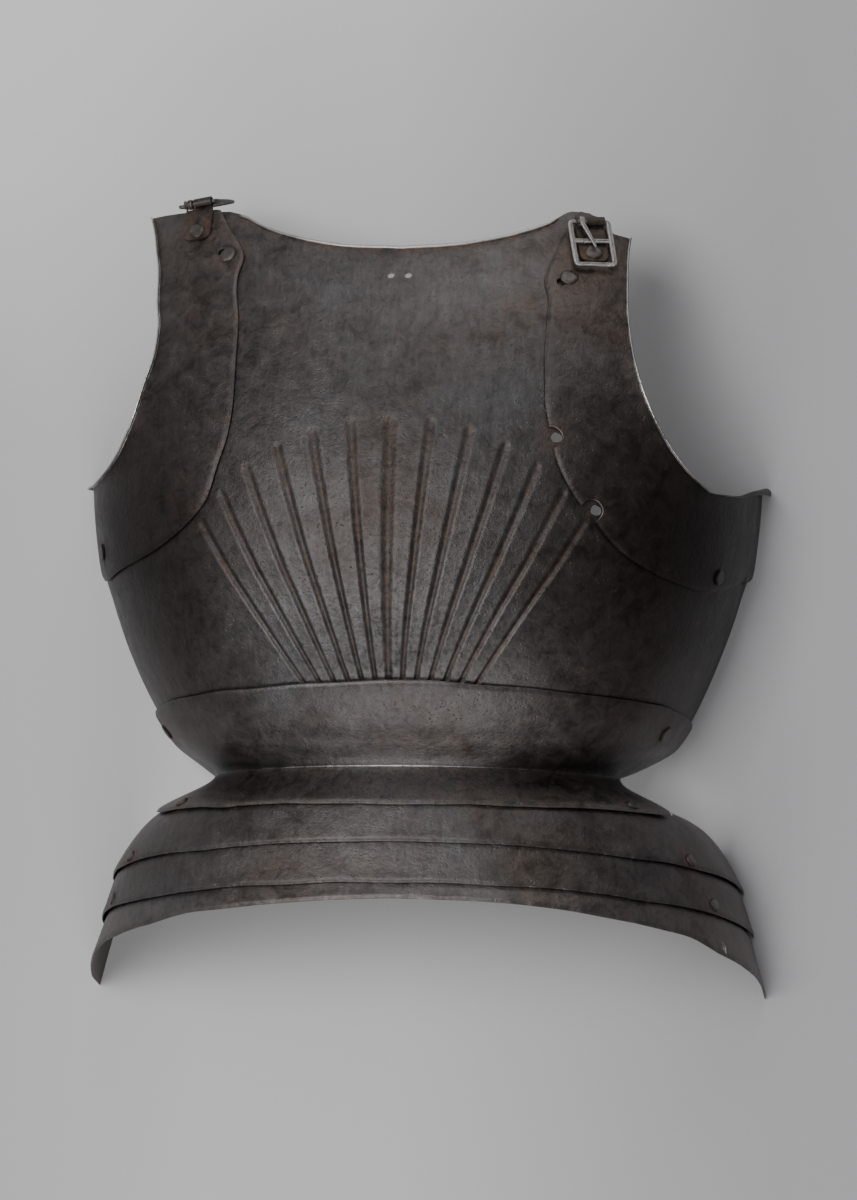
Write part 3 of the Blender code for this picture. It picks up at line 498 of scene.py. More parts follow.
def flute_relief(around, along):
    """Height, hollow mark and ridge mark of the fan of channels. Each is a trough shaped like one wave of a cosine
    of the distance from its line over its half width, with a round top and a low shoulder on each side."""
    x = around * QUARTER_ARC
    up = along - FLUTE_FAN_Y
    radius = np.hypot(x, up)
    bearing = np.arctan2(x, up)
    number = np.clip(np.round(bearing / FLUTE_PITCH), -(FLUTE_COUNT // 2), FLUTE_COUNT // 2)
    aside = radius * np.sin(bearing - number * FLUTE_PITCH)
    widths = np.array(FLUTE_HALF_WIDTHS)
    half_width = 1.18 * np.interp(radius, widths[:, 0], widths[:, 1]) * np.where(number == 0, 1.45, 1.0)
    top = FLUTE_TOP_RADIUS - FLUTE_TOP_FALL * number**2 - half_width
    share = np.hypot(aside, np.maximum(radius - top, 0) * 0.8) / half_width
    trough = 0.5 + 0.5 * np.cos(math.pi * np.clip(share, 0, 1))
    fade = 0.75 + 0.25 * soft_step(top - radius, 0, 0.05)
    shoulder = np.exp(-np.square((share - 1.15) / 0.35)) * (share > 0.6)
    height = -FLUTE_DEPTH * fade * trough + 0.00012 * shoulder
    low = soft_step(-along, -0.045, 0.045) * np.exp(-np.square(x / 0.085)) * (1 - trough)
    return height, trough**0.7, np.clip(0.15 * shoulder * fade + 0.8 * low, 0, 1)


def half_breastplate(side):
    """One half of the main plate from the centre line outwards, as places on the body. Columns follow the rays
    of the flute fan, close together in the channels, and swing out to the side edge beyond it. Rows run from the
    hidden foot to the neck and the arm edge, close together at the channels' round tops."""
    within = np.array([0, 0.28, 0.55, 0.80, 1.05, 1.35, 1.8]) / 5.3
    offsets = np.concatenate([within, [0.5], 1 - within[:0:-1]])
    half = FLUTE_COUNT // 2
    bearings = np.concatenate([offsets + flute for flute in range(half)] + [half + within]) * FLUTE_PITCH
    outer_columns = 44
    outer = np.linspace(0, 1, outer_columns + 1)[1:] ** 1.15
    neck_around, neck_share = dense_edge([*NECK_EDGE, NECK_ENDS[side]])
    arm_around, arm_share = dense_edge(ARM_EDGES[side])
    upper_along = station(np.concatenate([neck_share, arm_share]))
    upper_around = np.concatenate([neck_around, arm_around])
    top_around, top_along = column_ends(upper_around, upper_along, bearings, outer)
    foot_edge = np.linspace(0, 1, 300)
    foot_line = CREASE_Y + WAIST_PLATE_HEIGHT - WAIST_OVERLAP - FOOT_FALL * np.square(foot_edge)
    foot_around, foot_along = column_ends(foot_edge, foot_line, bearings, outer)
    top = np.hypot(top_around * QUARTER_ARC, top_along - FLUTE_FAN_Y)
    foot = np.hypot(foot_around * QUARTER_ARC, foot_along - FLUTE_FAN_Y)
    fluted = len(bearings)
    flute_top = FLUTE_TOP_RADIUS - FLUTE_TOP_FALL * (bearings / FLUTE_PITCH) ** 2
    share = (flute_top - foot[:fluted]) / (top[:fluted] - foot[:fluted])
    share = np.concatenate([share, np.full(outer_columns, share[-1])])
    length = top - foot
    length[fluted:] = length[fluted - 1]
    lower = np.linspace(0, 1, 60)[:, None] * (share - 0.006 / length)
    around_top = share + np.linspace(-0.006, 0.003, 11)[1:, None] / length
    upper_start = around_top[-1]
    upper = upper_start + np.linspace(0, 1, 46)[1:, None] * (1 - 0.0030 / length - upper_start)
    rim = 1 - np.linspace(0.0030, 0, 9)[1:, None] / length
    shares = np.concatenate([lower, around_top, upper, rim])
    return foot_around + shares * (top_around - foot_around), foot_along + shares * (top_along - foot_along)


def breastplate():
    left = half_breastplate(-1)
    right = half_breastplate(1)
    around = np.concatenate([-left[0][:, :0:-1], right[0]], axis=1)
    along = np.concatenate([left[1][:, :0:-1], right[1]], axis=1)
    bare = bare_surface(around, along)
    below_top = distances_to_edges(bare)[1]
    flutes, hollow, shoulder = flute_relief(around, along)
    rim_end = np.where(around[-1] < 0, 0.390, 0.330)
    on_neck = np.clip((rim_end - np.abs(around[-1])) / 0.02, 0, 1)
    from_bead = (below_top - NECK_BEAD_RADIUS) / NECK_BEAD_RADIUS
    bead = np.sqrt(np.clip(1 - np.square(from_bead), 0, 1)) * on_neck
    groove = np.exp(-np.square((below_top - 0.0030) / 0.0010)) * on_neck
    relief = flutes + hammering(around, along, 11) + 0.0011 * bead - 0.00025 * groove
    outer_points = body_surface(around, along, relief)
    inner_points = body_surface(around, along, np.minimum(relief, flutes + 0.0004) - PLATE)
    marks = np.zeros((*around.shape, 4))
    marks[..., 0] = np.maximum(edge_wear(bare, (0.2, 0.3, 0.9, 0.9)), bead)
    # Side ends: wear and a painted highlight
    at_sides = np.minimum(*distances_to_edges(bare)[2:])
    marks[..., 0] = np.maximum(marks[..., 0], np.exp(-np.square(at_sides / END_WEAR_AND_HIGHLIGHT_REACH)))
    marks[..., 1] = hollow
    marks[..., 2] = shoulder
    marks[..., 3] = np.clip(groove + rust_spots(outer_points), 0, 1)
    piece = plate_shell("breastplate_steel", outer_points, inner_points, marks)
    lace_hole = round_outline(LACE_HOLE_RADIUS)
    tools = [(seat(side * 0.005 / QUARTER_ARC, station(0.08) - 0.0175), lace_hole) for side in (-1, 1)]
    old_hole = round_outline(OLD_HOLE_RADIUS, rough=0.10, seed=5)
    tools += [(seat(around, station(length)), old_hole) for around, length in OLD_HOLES]
    rivet_hole = round_outline(RIVET_HOLE_RADIUS)
    for side in (-1, 1):
        tools.append((seat(UPPER_RIVETS[side][0], station(UPPER_RIVETS[side][1])), rivet_hole))
        tools.append((seat(LOWER_RIVETS[side][0], station(LOWER_RIVETS[side][1])), rivet_hole))
        tools.append((seat(side * WAIST_RIVET[0], station(WAIST_RIVET[1])), rivet_hole))
        tools.append((strap_rivet_seat(side), rivet_hole))
    cut_holes(piece, tools)
    return piece


def rust_spots(points):
    """Stain round each fastening: a bell of about its own size, broken up by the material's own noise."""
    spots = np.zeros(points.shape[:-1])
    for place, reach in STAINED:
        away = np.linalg.norm(points - np.array(place.translation), axis=-1)
        spots = np.maximum(spots, np.exp(-np.square(away / reach)))
    return spots


def strap_eye(side):
    """Frame of a shoulder hinge: X along the hinge pin, Y up the plate and out of it."""
    around, share = STRAP_EYES[side]
    place = seat(around, station(share) - LEAF_LENGTH / 2, PLATE + LAYER_GAP + 2 * SEAT_GAP)
    turn = Matrix.Rotation(math.radians(STRAP_TURNS[side]), 4, "Z")
    rock = Matrix.Rotation(math.radians(STRAP_ROCKS[side]), 4, "Y")
    edge = Matrix.Translation((LEAF_WIDTH / 2, 0, 0))
    return place @ turn @ edge @ rock @ edge.inverted() @ Matrix.Translation((0, LEAF_LENGTH / 2, EYE_RADIUS))


def strap_rivet_seat(side):
    return strap_eye(side) @ Matrix.Translation((0, -LEAF_LENGTH * STRAP_RIVET_SHARE, -EYE_RADIUS))


STAINED = [(seat(UPPER_RIVETS[side][0], station(UPPER_RIVETS[side][1])), 0.010) for side in (-1, 1)]
STAINED += [(seat(LOWER_RIVETS[side][0], station(LOWER_RIVETS[side][1])), 0.012) for side in (-1, 1)]
STAINED += [(seat(side * WAIST_RIVET[0], station(WAIST_RIVET[1])), 0.012) for side in (-1, 1)]
STAINED += [(strap_rivet_seat(side), 0.016) for side in (-1, 1)]
STAINED += [(seat(side * x, fauld_station(y)), 0.010) for side in (-1, 1) for x, y in FAULD_RIVETS]
STAINED += [(seat(x, station(y)), 0.008) for x, y in OLD_HOLES]


def slot_frame(upper, lower):
    """Frame of a slot whose rivet sits at its right end, and which runs square to the line to the lower rivet."""
    reach = upper.inverted() @ lower.translation
    turned = math.atan2(reach.x, -reach.y)
    return upper @ Matrix.Rotation(turned, 4, "Z") @ Matrix.Translation((-GUSSET_PLAY, 0, 0))


def middle_line(at, index, middle):
    """Places along the middle line of a strip, from its knots."""
    return np.stack([np.interp(at, index, middle[:, 0]), np.interp(at, index, middle[:, 1])], axis=1)


def worn_lip(distance, reach=0.0012, depth=0.0008):
    """How far a plate's outer face is worn away near an edge, so that the edge shows thin."""
    return depth * np.exp(-np.square(distance / reach))


def gusset(side):
    """Rows run from the side end up to the shoulder, columns from the seam to the rim, which flares at half
    height. The rim's last columns curl outwards: point = edge + radius (away sin(turn) + out (1 - cos(turn))).
    The seam's edge is beaten down a little, and the right shoulder's edge has a step in it."""
    table = np.array(GUSSET_EDGES[side])[::-1]
    middle = (table[:, :2] + table[:, 2:]) / 2 * (QUARTER_ARC, BREAST_LENGTH)
    index = np.arange(len(table))
    length = np.concatenate([[0.0], np.cumsum(np.linalg.norm(np.diff(middle, axis=0), axis=1))])
    at = np.interp(np.linspace(0, length[-1], 230), length, index)
    seam_around, seam_share, rim_around, rim_share = (smooth(at, index, table[:, i]) for i in range(4))
    lobe = np.exp(-np.square((seam_share - UPPER_RIVETS[side][1]) / LOBE_LENGTH))
    seam_around = seam_around - LOBE_REACH * lobe * (seam_around < 0.45)
    across = np.concatenate([[0, 0.006, 0.015], np.linspace(0.03, 0.94, 40), [0.96, 0.975, 0.99, 1.0]])
    around = side * (seam_around[:, None] + across * (rim_around - seam_around)[:, None])
    along = station(seam_share[:, None] + across * (rim_share - seam_share)[:, None])
    width = np.abs(rim_around - seam_around)[:, None] * QUARTER_ARC
    if side > 0:
        step = np.interp(across, (0, 0.27, 0.52, 0.64, 0.70, 1), (0, -0.0054, -0.0107, 0.0091, 0.0085, 0))
        rises = np.linalg.norm(np.diff(middle_line(at, index, middle), axis=0), axis=1)
        to_end = np.cumsum(rises[::-1])[::-1]
        along = along - BREAST_LENGTH * step * np.exp(-np.square(np.append(to_end, 0.0) / 0.010))[:, None]
    above_end = seam_around[:, None] < 0.9
    seam_down = (LAYER_GAP - 0.0009) * np.exp(-np.square(across * width / 0.005)) * above_end
    at_half_height = np.exp(-np.square((rim_share[:, None] - 0.39) / 0.11))
    flare = 0.0042 * at_half_height * np.exp(-(1 - across) * width / 0.009)
    flare = flare * (1 - soft_step(rim_around, 0.60, 0.85))[:, None]
    lift = LAYER_GAP + PLATE + hammering(around, along, 40 + side) - seam_down + flare
    outer = body_surface(around, along, lift - worn_lip(across * width) * above_end)
    inner = body_surface(around, along, lift - PLATE)
    out = body_normal(around[:, -1], along[:, -1])
    away = unit(outer[:, -1] - outer[:, -3])
    curl = smooth(rim_around, (0.40, 0.70, 1.00), (0.0, 0.15, 1.0))[:, None, None]
    turn = np.linspace(0, 1, CURL_ROWS)[1:, None] * np.radians(150 + 60 * curl)
    radius = 0.0010 + 0.0017 * curl
    wall = PLATE * (0.55 + 0.15 * curl)
    start = outer[:, -1, None] * 0.5 + inner[:, -1, None] * 0.5
    out, away = out[:, None], away[:, None]
    line = start + radius * (away * np.sin(turn) + out * (1 - np.cos(turn)))
    facing = out * np.cos(turn) - away * np.sin(turn)
    thin = PLATE + (wall - PLATE) * np.clip(np.linspace(0, 1, CURL_ROWS)[1:, None] * 4, 0, 1)
    outer = np.concatenate([outer, line + facing * thin / 2], axis=1)
    inner = np.concatenate([inner, line - facing * thin / 2], axis=1)
    marks = np.zeros((*outer.shape[:2], 4))
    rim = np.zeros(outer.shape[1])
    rim[-CURL_ROWS:] = np.linspace(0.35, 1, CURL_ROWS)
    marks[..., 0] = np.maximum(edge_wear(outer, (1.0, 0.4, 0.18, 0.0)), rim)
    marks[..., 3] = rust_spots(outer)
    # Side end: wear and a painted highlight
    side_end = distances_to_edges(outer)[0]
    marks[..., 0] = np.maximum(marks[..., 0], np.exp(-np.square(side_end / END_WEAR_AND_HIGHLIGHT_REACH)))
    # Painted highlight in the polish mark along the rim at half height
    rim_highlight = np.exp(-np.square((rim_share - 0.37) / 0.10))[:, None]
    near_rim = slice(-2 * CURL_ROWS, None)
    marks[:, near_rim, 0] = np.maximum(marks[:, near_rim, 0], rim_highlight * np.linspace(0, 0.75, 2 * CURL_ROWS))
    if side < 0:
        outer, inner, marks = outer[:, ::-1], inner[:, ::-1], marks[:, ::-1]
    piece = plate_shell("gusset_steel_" + SIDE_NAMES[side], outer, inner, marks)
    upper = seat(UPPER_RIVETS[side][0], station(UPPER_RIVETS[side][1]), PLATE + LAYER_GAP)
    lower = seat(LOWER_RIVETS[side][0], station(LOWER_RIVETS[side][1]), PLATE + LAYER_GAP)
    tools = [
        (slot_frame(upper, lower), round_outline(PIN_HOLE_RADIUS, GUSSET_PLAY)),
        (lower, round_outline(RIVET_HOLE_RADIUS)),
        (slot_frame(strap_rivet_seat(side), lower), round_outline(2 * PIN_HOLE_RADIUS)),
    ]
    if side > 0:
        notch = round_outline(NOTCH_RADIUS, rough=0.07, seed=9)
        tools += [(seat(x - NOTCH_SHIFT, station(y)), notch) for x, y in OLD_HOLES]
    cut_holes(piece, tools)
    return piece


def spread(columns, share):
    """Places from -1 to 1, closer together at the sides as the share nears 1."""
    angle = share * math.pi / 2
    return np.sin(np.linspace(-angle, angle, columns)) / math.sin(angle)


def with_close_ends(places, steps=(0.0006, 0.0018, 0.004)):
    """The places from -1 to 1 with a few more close to both ends, so that an edge can be round and worn."""
    near = np.array(steps)
    kept = places[np.abs(places) < 1 - 1.5 * near[-1]]
    return np.concatenate([[-1], -1 + near, kept, 1 - near[::-1], [1]])


def waist_plate():
    """Rows run from the lip of the flange up over the crease to the upper edge. The crease is a sharp hollow
    bend: its depth falls off as an exponential of the distance from it."""
    crease = WAIST_CREASE_SHARE
    flange_rows = np.linspace(1.0, crease, 26)[:-1]
    upper_rows = crease * (1 - np.linspace(0, 1, 60) ** 1.1)
    rows = np.concatenate([[1.0, 0.997, 0.99], flange_rows[1:], upper_rows[:-1], [0.006, 0.003, 0.0]])
    across = with_close_ends(spread(170, 0.86))
    side = np.array(WAIST_SIDE)
    around = smooth(rows, side[:, 0], side[:, 1])[:, None] * across
    upper_share = np.clip(rows / crease, 0, 1)[:, None]
    flange_share = np.clip((rows - crease) / (1 - crease), 0, 1)[:, None]
    top = waist_upper_edge(around)
    top = top + 0.0007 * clouds(around * QUARTER_ARC, 0, 0.03, 71)
    lip = 0.0006 * clouds(around * QUARTER_ARC, 0, 0.025, 72)
    along = top + (CREASE_Y - top) * upper_share - (FLANGE_SHARE * FAULD_CREST_LENGTH + lip) * flange_share
    from_crease = np.abs(along - CREASE_Y)
    bend = np.exp(-from_crease / 0.0050)
    relief = hammering(around, along, 21) - 0.0011 * bend
    lift = LAYER_GAP + PLATE + relief
    bare = body_surface(around, along, lift)
    lower, upper, left, right = distances_to_edges(bare)
    outer = body_surface(around, along, lift - worn_lip(upper) - worn_lip(lower))
    inner = body_surface(around, along, lift - PLATE)
    marks = np.zeros((*outer.shape[:2], 4))
    # Painted highlight along the crease, brightest in the middle, kept in the polish mark
    middle = 0.30 + 0.45 * np.exp(-np.square(around / 0.40))
    crease_highlight = middle * np.exp(-np.square(from_crease / 0.0008))
    # Side ends: wear and a painted highlight
    at_ends = np.exp(-np.square(np.minimum(left, right) / END_WEAR_AND_HIGHLIGHT_REACH))
    marks[..., 0] = np.maximum(edge_wear(outer, (0.35, 0.3, 1.0, 1.0)), np.maximum(crease_highlight, at_ends))
    marks[..., 3] = np.maximum(rust_spots(outer), 0.35 * (along < CREASE_Y))
    piece = plate_shell("waist_plate_steel", outer, inner, marks)
    tools = []
    rivet_hole = round_outline(RIVET_HOLE_RADIUS)
    for side in (-1, 1):
        tools.append((seat(side * WAIST_RIVET[0], station(WAIST_RIVET[1]), PLATE), rivet_hole))
        tools.append((seat(side * FAULD_RIVETS[0][0], fauld_station(FAULD_RIVETS[0][1])), rivet_hole))
    cut_holes(piece, tools)
    return piece


def lame(number):
    """One hoop of the fauld, from its lower edge to its hidden top."""
    above = ([FLANGE_SHARE, *LAME_LOWER_EDGES])[number]
    below = LAME_LOWER_EDGES[number]
    top = above - LAME_OVERLAP / FAULD_CREST_LENGTH
    rows = np.concatenate([[below, below - 0.004, below - 0.010], np.linspace(below - 0.018, top, 40)])
    across = with_close_ends(spread(190, 0.9))
    limit = np.full(len(rows), 1.0)
    if number == 0:
        shoulder = np.array(LAME_1_SHOULDER)
        height = (rows[::-1] - top) / (below - top)
        limit = smooth(np.clip(height, 0, shoulder[-1, 0]), shoulder[:, 0], shoulder[:, 1])[::-1]
    around = limit[:, None] * across
    wobble = 0.0006 * clouds(around * QUARTER_ARC, 0, 0.03, 80 + number)
    from_lip = ((below - rows) / (below - top))[:, None]
    along = fauld_station(rows)[:, None] + wobble * (1 - from_lip)
    lift = LAYER_GAP - LAME_GAP - number * (PLATE + LAME_GAP) + hammering(around, along, 60 + 3 * number)
    lower, _, left, right = distances_to_edges(body_surface(around, along, lift))
    outer = body_surface(around, along, lift - worn_lip(lower))
    inner = body_surface(around, along, lift - PLATE)
    marks = np.zeros((*outer.shape[:2], 4))
    # Side ends: wear and a painted highlight
    at_ends = np.exp(-np.square(np.minimum(left, right) / END_WEAR_AND_HIGHLIGHT_REACH))
    marks[..., 0] = np.maximum(edge_wear(outer, (0.40, 0.1, 1.0, 1.0)), at_ends)
    marks[..., 3] = rust_spots(outer)
    piece = plate_shell("fauld_lame_steel_" + str(number + 1), outer, inner, marks)
    tools = []
    for side in (-1, 1):
        for rivet in (number, number + 1):
            if rivet < len(FAULD_RIVETS):
                x, y = FAULD_RIVETS[rivet]
                tools.append((seat(side * x, fauld_station(y)), round_outline(RIVET_HOLE_RADIUS)))
    if number == 2:
        tools.append((seat(DIAMOND[0], fauld_station(DIAMOND[1])), DIAMOND_OUTLINE))
    cut_holes(piece, tools)
    return piece


def placed(points, place):
    """Points of a fitting in its own frame, moved to the fitting's place."""
    return points @ np.array(place.to_3x3()).T + np.array(place.translation)


def turned(name, profile, place, columns=36, seed=0, rough=0.0):
    """A profile of radius and height turned round Z, closed at both ends. Its radius is wavy and its head
    dented where the piece is rough."""
    profile = np.array(profile)
    radius, height = profile[:, :1], profile[:, 1:]
    angles = np.linspace(0, 2 * math.pi, columns, endpoint=False)
    waves = np.random.default_rng(seed).uniform(-math.pi, math.pi, 4)
    wobble = 1 + rough * sum(np.sin((i + 2) * angles + waves[i]) / (i + 1) for i in range(3))
    top = height.max()
    size = radius * wobble
    tilt = rough * top * np.cos(angles + waves[3]) * radius / radius.max() * (height > 0)
    points = np.stack([size * np.cos(angles), size * np.sin(angles), height + tilt], axis=-1).reshape(-1, 3)
    index = np.arange(len(points)).reshape(len(profile), columns)
    following = np.roll(index, -1, axis=1)
    sides = np.stack([index[1:], following[1:], following[:-1], index[:-1]], axis=-1).reshape(-1, 4)
    high = np.repeat(height[:, 0], columns)
    marks = np.zeros((len(points), 4))
    marks[:, 0] = np.interp(high, (0.0, top * 0.5, top), (0.15, 0.35, 0.6)) * (high > -0.0001)
    marks[:, 3] = np.interp(high, (0.0, top * 0.7), (0.9, 0.15))
    faces = sides.tolist() + [index[0].tolist(), index[-1, ::-1].tolist()]
    return add_mesh(name, placed(points, place), faces, marks)


def rivet(name, place, grip, head_radius, seed, dished=0.0):
    """Domed head, shank through the plates and a flat tail. A worn head is flatter, and may be dished."""
    share = np.linspace(0.03, 1, 12)
    dome = RIVET_DOME * np.sqrt(np.clip(1 - share**2.4, 0, 1))
    dome = dome - dished * np.exp(-np.square(share / 0.55)) + 0.00010
    bottom = -grip - 0.0010
    profile = list(zip(head_radius * share, dome))
    profile += [(head_radius * 0.99, 0.0), (RIVET_SHANK_RADIUS, 0.0), (RIVET_SHANK_RADIUS, bottom)]
    profile += [(0.0029, bottom), (RIVET_TAIL_RADIUS, bottom - 0.0003), (0.0031, bottom - 0.0008)]
    profile += [(0.0026, bottom - 0.0010)]
    profile += [(0.0002, bottom - 0.0010)]
    profile = [(radius, height + SEAT_GAP) for radius, height in profile]
    return turned(name, profile, place, seed=seed, rough=0.06)


def tube_along(name, line, out, half_width, half_height, place, closed, polish=0.6, power=3.0):
    """A rounded bar along a line: each section is a superellipse, half width across the line and half height
    along out, and a closed line makes a ring. Open ends are closed with a flat face."""
    line = np.array(line, float)
    if closed:
        ahead = np.roll(line, -1, axis=0) - np.roll(line, 1, axis=0)
    else:
        ahead = np.gradient(line, axis=0)
    ahead = unit(ahead)
    out = np.broadcast_to(np.asarray(out, float), line.shape)
    side = unit(np.cross(ahead, out))
    out = unit(np.cross(side, ahead))
    turn = np.linspace(0, 2 * math.pi, 20, endpoint=False)
    across = np.sign(np.cos(turn)) * np.abs(np.cos(turn)) ** (2 / power)
    up = np.sign(np.sin(turn)) * np.abs(np.sin(turn)) ** (2 / power)
    half_width = np.broadcast_to(np.asarray(half_width, float), len(line))[:, None, None]
    half_height = np.broadcast_to(np.asarray(half_height, float), len(line))[:, None, None]
    points = line[:, None] + side[:, None] * across[:, None] * half_width
    points = points + out[:, None] * up[:, None] * half_height
    rows, columns = points.shape[:2]
    index = np.arange(rows * columns).reshape(rows, columns)
    ahead_rows = np.roll(index, -1, axis=0) if closed else index[1:]
    here = index if closed else index[:-1]
    faces = np.stack([here, np.roll(here, -1, 1), np.roll(ahead_rows, -1, 1), ahead_rows], axis=-1)
    faces = faces.reshape(-1, 4).tolist()
    if not closed:
        faces += [index[0, ::-1].tolist(), index[-1].tolist()]
    corner = np.abs(across * up) / np.abs(across * up).max()
    marks = np.zeros((rows, columns, 4))
    marks[..., 0] = polish * (0.55 + 0.45 * corner)
    marks[..., 3] = 0.25
    return add_mesh(name, placed(points.reshape(-1, 3), place), faces, marks.reshape(-1, 4))


def rounded_rectangle(left, right, bottom, top, radius, steps=7, along_side=9):
    """Points of a closed line round a rectangle: quarter circles joined by straight stretches."""
    corners = ((right, top, 0), (left, top, 90), (left, bottom, 180), (right, bottom, 270))
    points = []
    for x, y, start in corners:
        turn = np.radians(np.linspace(start, start + 90, steps))
        centre_x = x + math.copysign(radius, (left + right) / 2 - x)
        centre_y = y + math.copysign(radius, (bottom + top) / 2 - y)
        quarter = [centre_x + radius * np.cos(turn), centre_y + radius * np.sin(turn)]
        points.append(np.stack(quarter, axis=1))
    line = []
    for number, quarter in enumerate(points):
        line.append(quarter)
        start, end = quarter[-1], points[(number + 1) % 4][0]
        line.append(start + np.linspace(0, 1, along_side + 2)[1:-1, None] * (end - start))
    flat = np.concatenate(line)
    return np.concatenate([flat, np.zeros((len(flat), 1))], axis=1)


def joined(pieces, name):
    """One piece from several that touch, with their marks."""
    bm = bmesh.new()
    for piece in pieces:
        bm.from_mesh(piece.data)
        mesh = piece.data
        bpy.data.objects.remove(piece, do_unlink=True)
        bpy.data.meshes.remove(mesh)
    mesh = bpy.data.meshes.new(name)
    bm.to_mesh(mesh)
    bm.free()
    piece = bpy.data.objects.new(name, mesh)
    bpy.context.scene.collection.objects.link(piece)
    return piece


def hinge_frame(side):
    """Frame of a buckle and its tongue: lying back on its plate at the right, and hanging down at the left."""
    eye = strap_eye(side)
    if side > 0:
        return eye
    lean = math.radians(BUCKLE_LEAN)
    down = eye.to_3x3().inverted() @ Vector((0, math.sin(lean), -math.cos(lean)))
    return eye @ Matrix.Rotation(math.atan2(-down.z, -down.y), 4, "X")


def worn(line, size, seed):
    """A line whose points wander a little, as a filed and knocked bar does."""
    drift = np.random.default_rng(seed).normal(0, 1, (len(line), 3))
    for _ in range(6):
        drift = (np.roll(drift, 1, axis=0) + drift + np.roll(drift, -1, axis=0)) / 3
    return line + drift * size


def buckle(side):
    """A frame with two windows: a ring of rounded rectangular section and a bar across it."""
    place = hinge_frame(side) @ Matrix.Translation((BUCKLE_OFFSET, 0, 0))
    half = BUCKLE_WIDTH / 2 - BUCKLE_SIDE_BAR / 2
    low = -BUCKLE_REACH
    line = rounded_rectangle(-half, half, low, 0.0, BUCKLE_CORNER)
    x_share = np.abs(line[:, 0]) / half
    at_hinge = soft_step(line[:, 1], -0.0022, -0.0004)
    half_width = np.where(x_share > 0.97, BUCKLE_SIDE_BAR / 2, BUCKLE_HALF_BAR)
    half_width = half_width * (1 - at_hinge) + BAR / 2 * at_hinge
    line = worn(line, 0.00034, 3 + side)
    ring = tube_along("ring", line, (0, 0, 1), half_width, BAR / 2 * 0.95, place, True, 1.0, 3.4)
    middle = np.stack([np.linspace(-half, half, 14), np.full(14, -BUCKLE_MIDDLE), np.zeros(14)], axis=1)
    bar = tube_along("bar", middle, (0, 0, 1), BUCKLE_MIDDLE_HALF_BAR, BAR / 2 * 0.9, place, False, 0.9)
    return joined([ring, bar], "buckle_steel_" + SIDE_NAMES[side])


def tongue(side):
    """A flat pin looped round the hinge bar. It tapers, passes over the middle bar and bends down at its tip."""
    place = hinge_frame(side) @ Matrix.Translation((TONGUE_OFFSET, 0, 0))
    radius = (EYE_RADIUS + EYE_HOLE_RADIUS) / 2 + 0.0001
    turn = np.radians(np.linspace(118, -215, 26))
    loop = np.stack([np.zeros(26), radius * np.cos(turn), radius * np.sin(turn)], axis=1)[::-1]
    level = EYE_RADIUS - TONGUE_THICKNESS / 2
    run = np.linspace(0, 1, 14)
    end = BAR / 2 + SEAT_GAP + TONGUE_THICKNESS / 2
    height = level + (end - level) * soft_step(run, 0.62, 1.0)
    reach = 0.0016 + (TONGUE_LENGTH - 0.0016) * run
    pin = np.stack([TONGUE_SLANT * np.clip(reach - EYE_RADIUS, 0, None), -reach, height], axis=1)
    line = np.concatenate([loop, pin])
    share = np.concatenate([np.zeros(26), run])
    half_width = TONGUE_WIDTH / 2 * np.interp(share, (0, 0.25, 0.9, 1), (1, 0.95, 0.62, 0.35))
    out = np.concatenate([loop / radius, np.tile((0, 0, 1.0), (14, 1))])
    half_height = TONGUE_THICKNESS / 2 * np.interp(share, (0, 0.9, 1), (0.82, 0.95, 0.6))
    name = "tongue_steel_" + SIDE_NAMES[side]
    return tube_along(name, line, out, half_width, half_height, place, False, 0.9, 2.6)


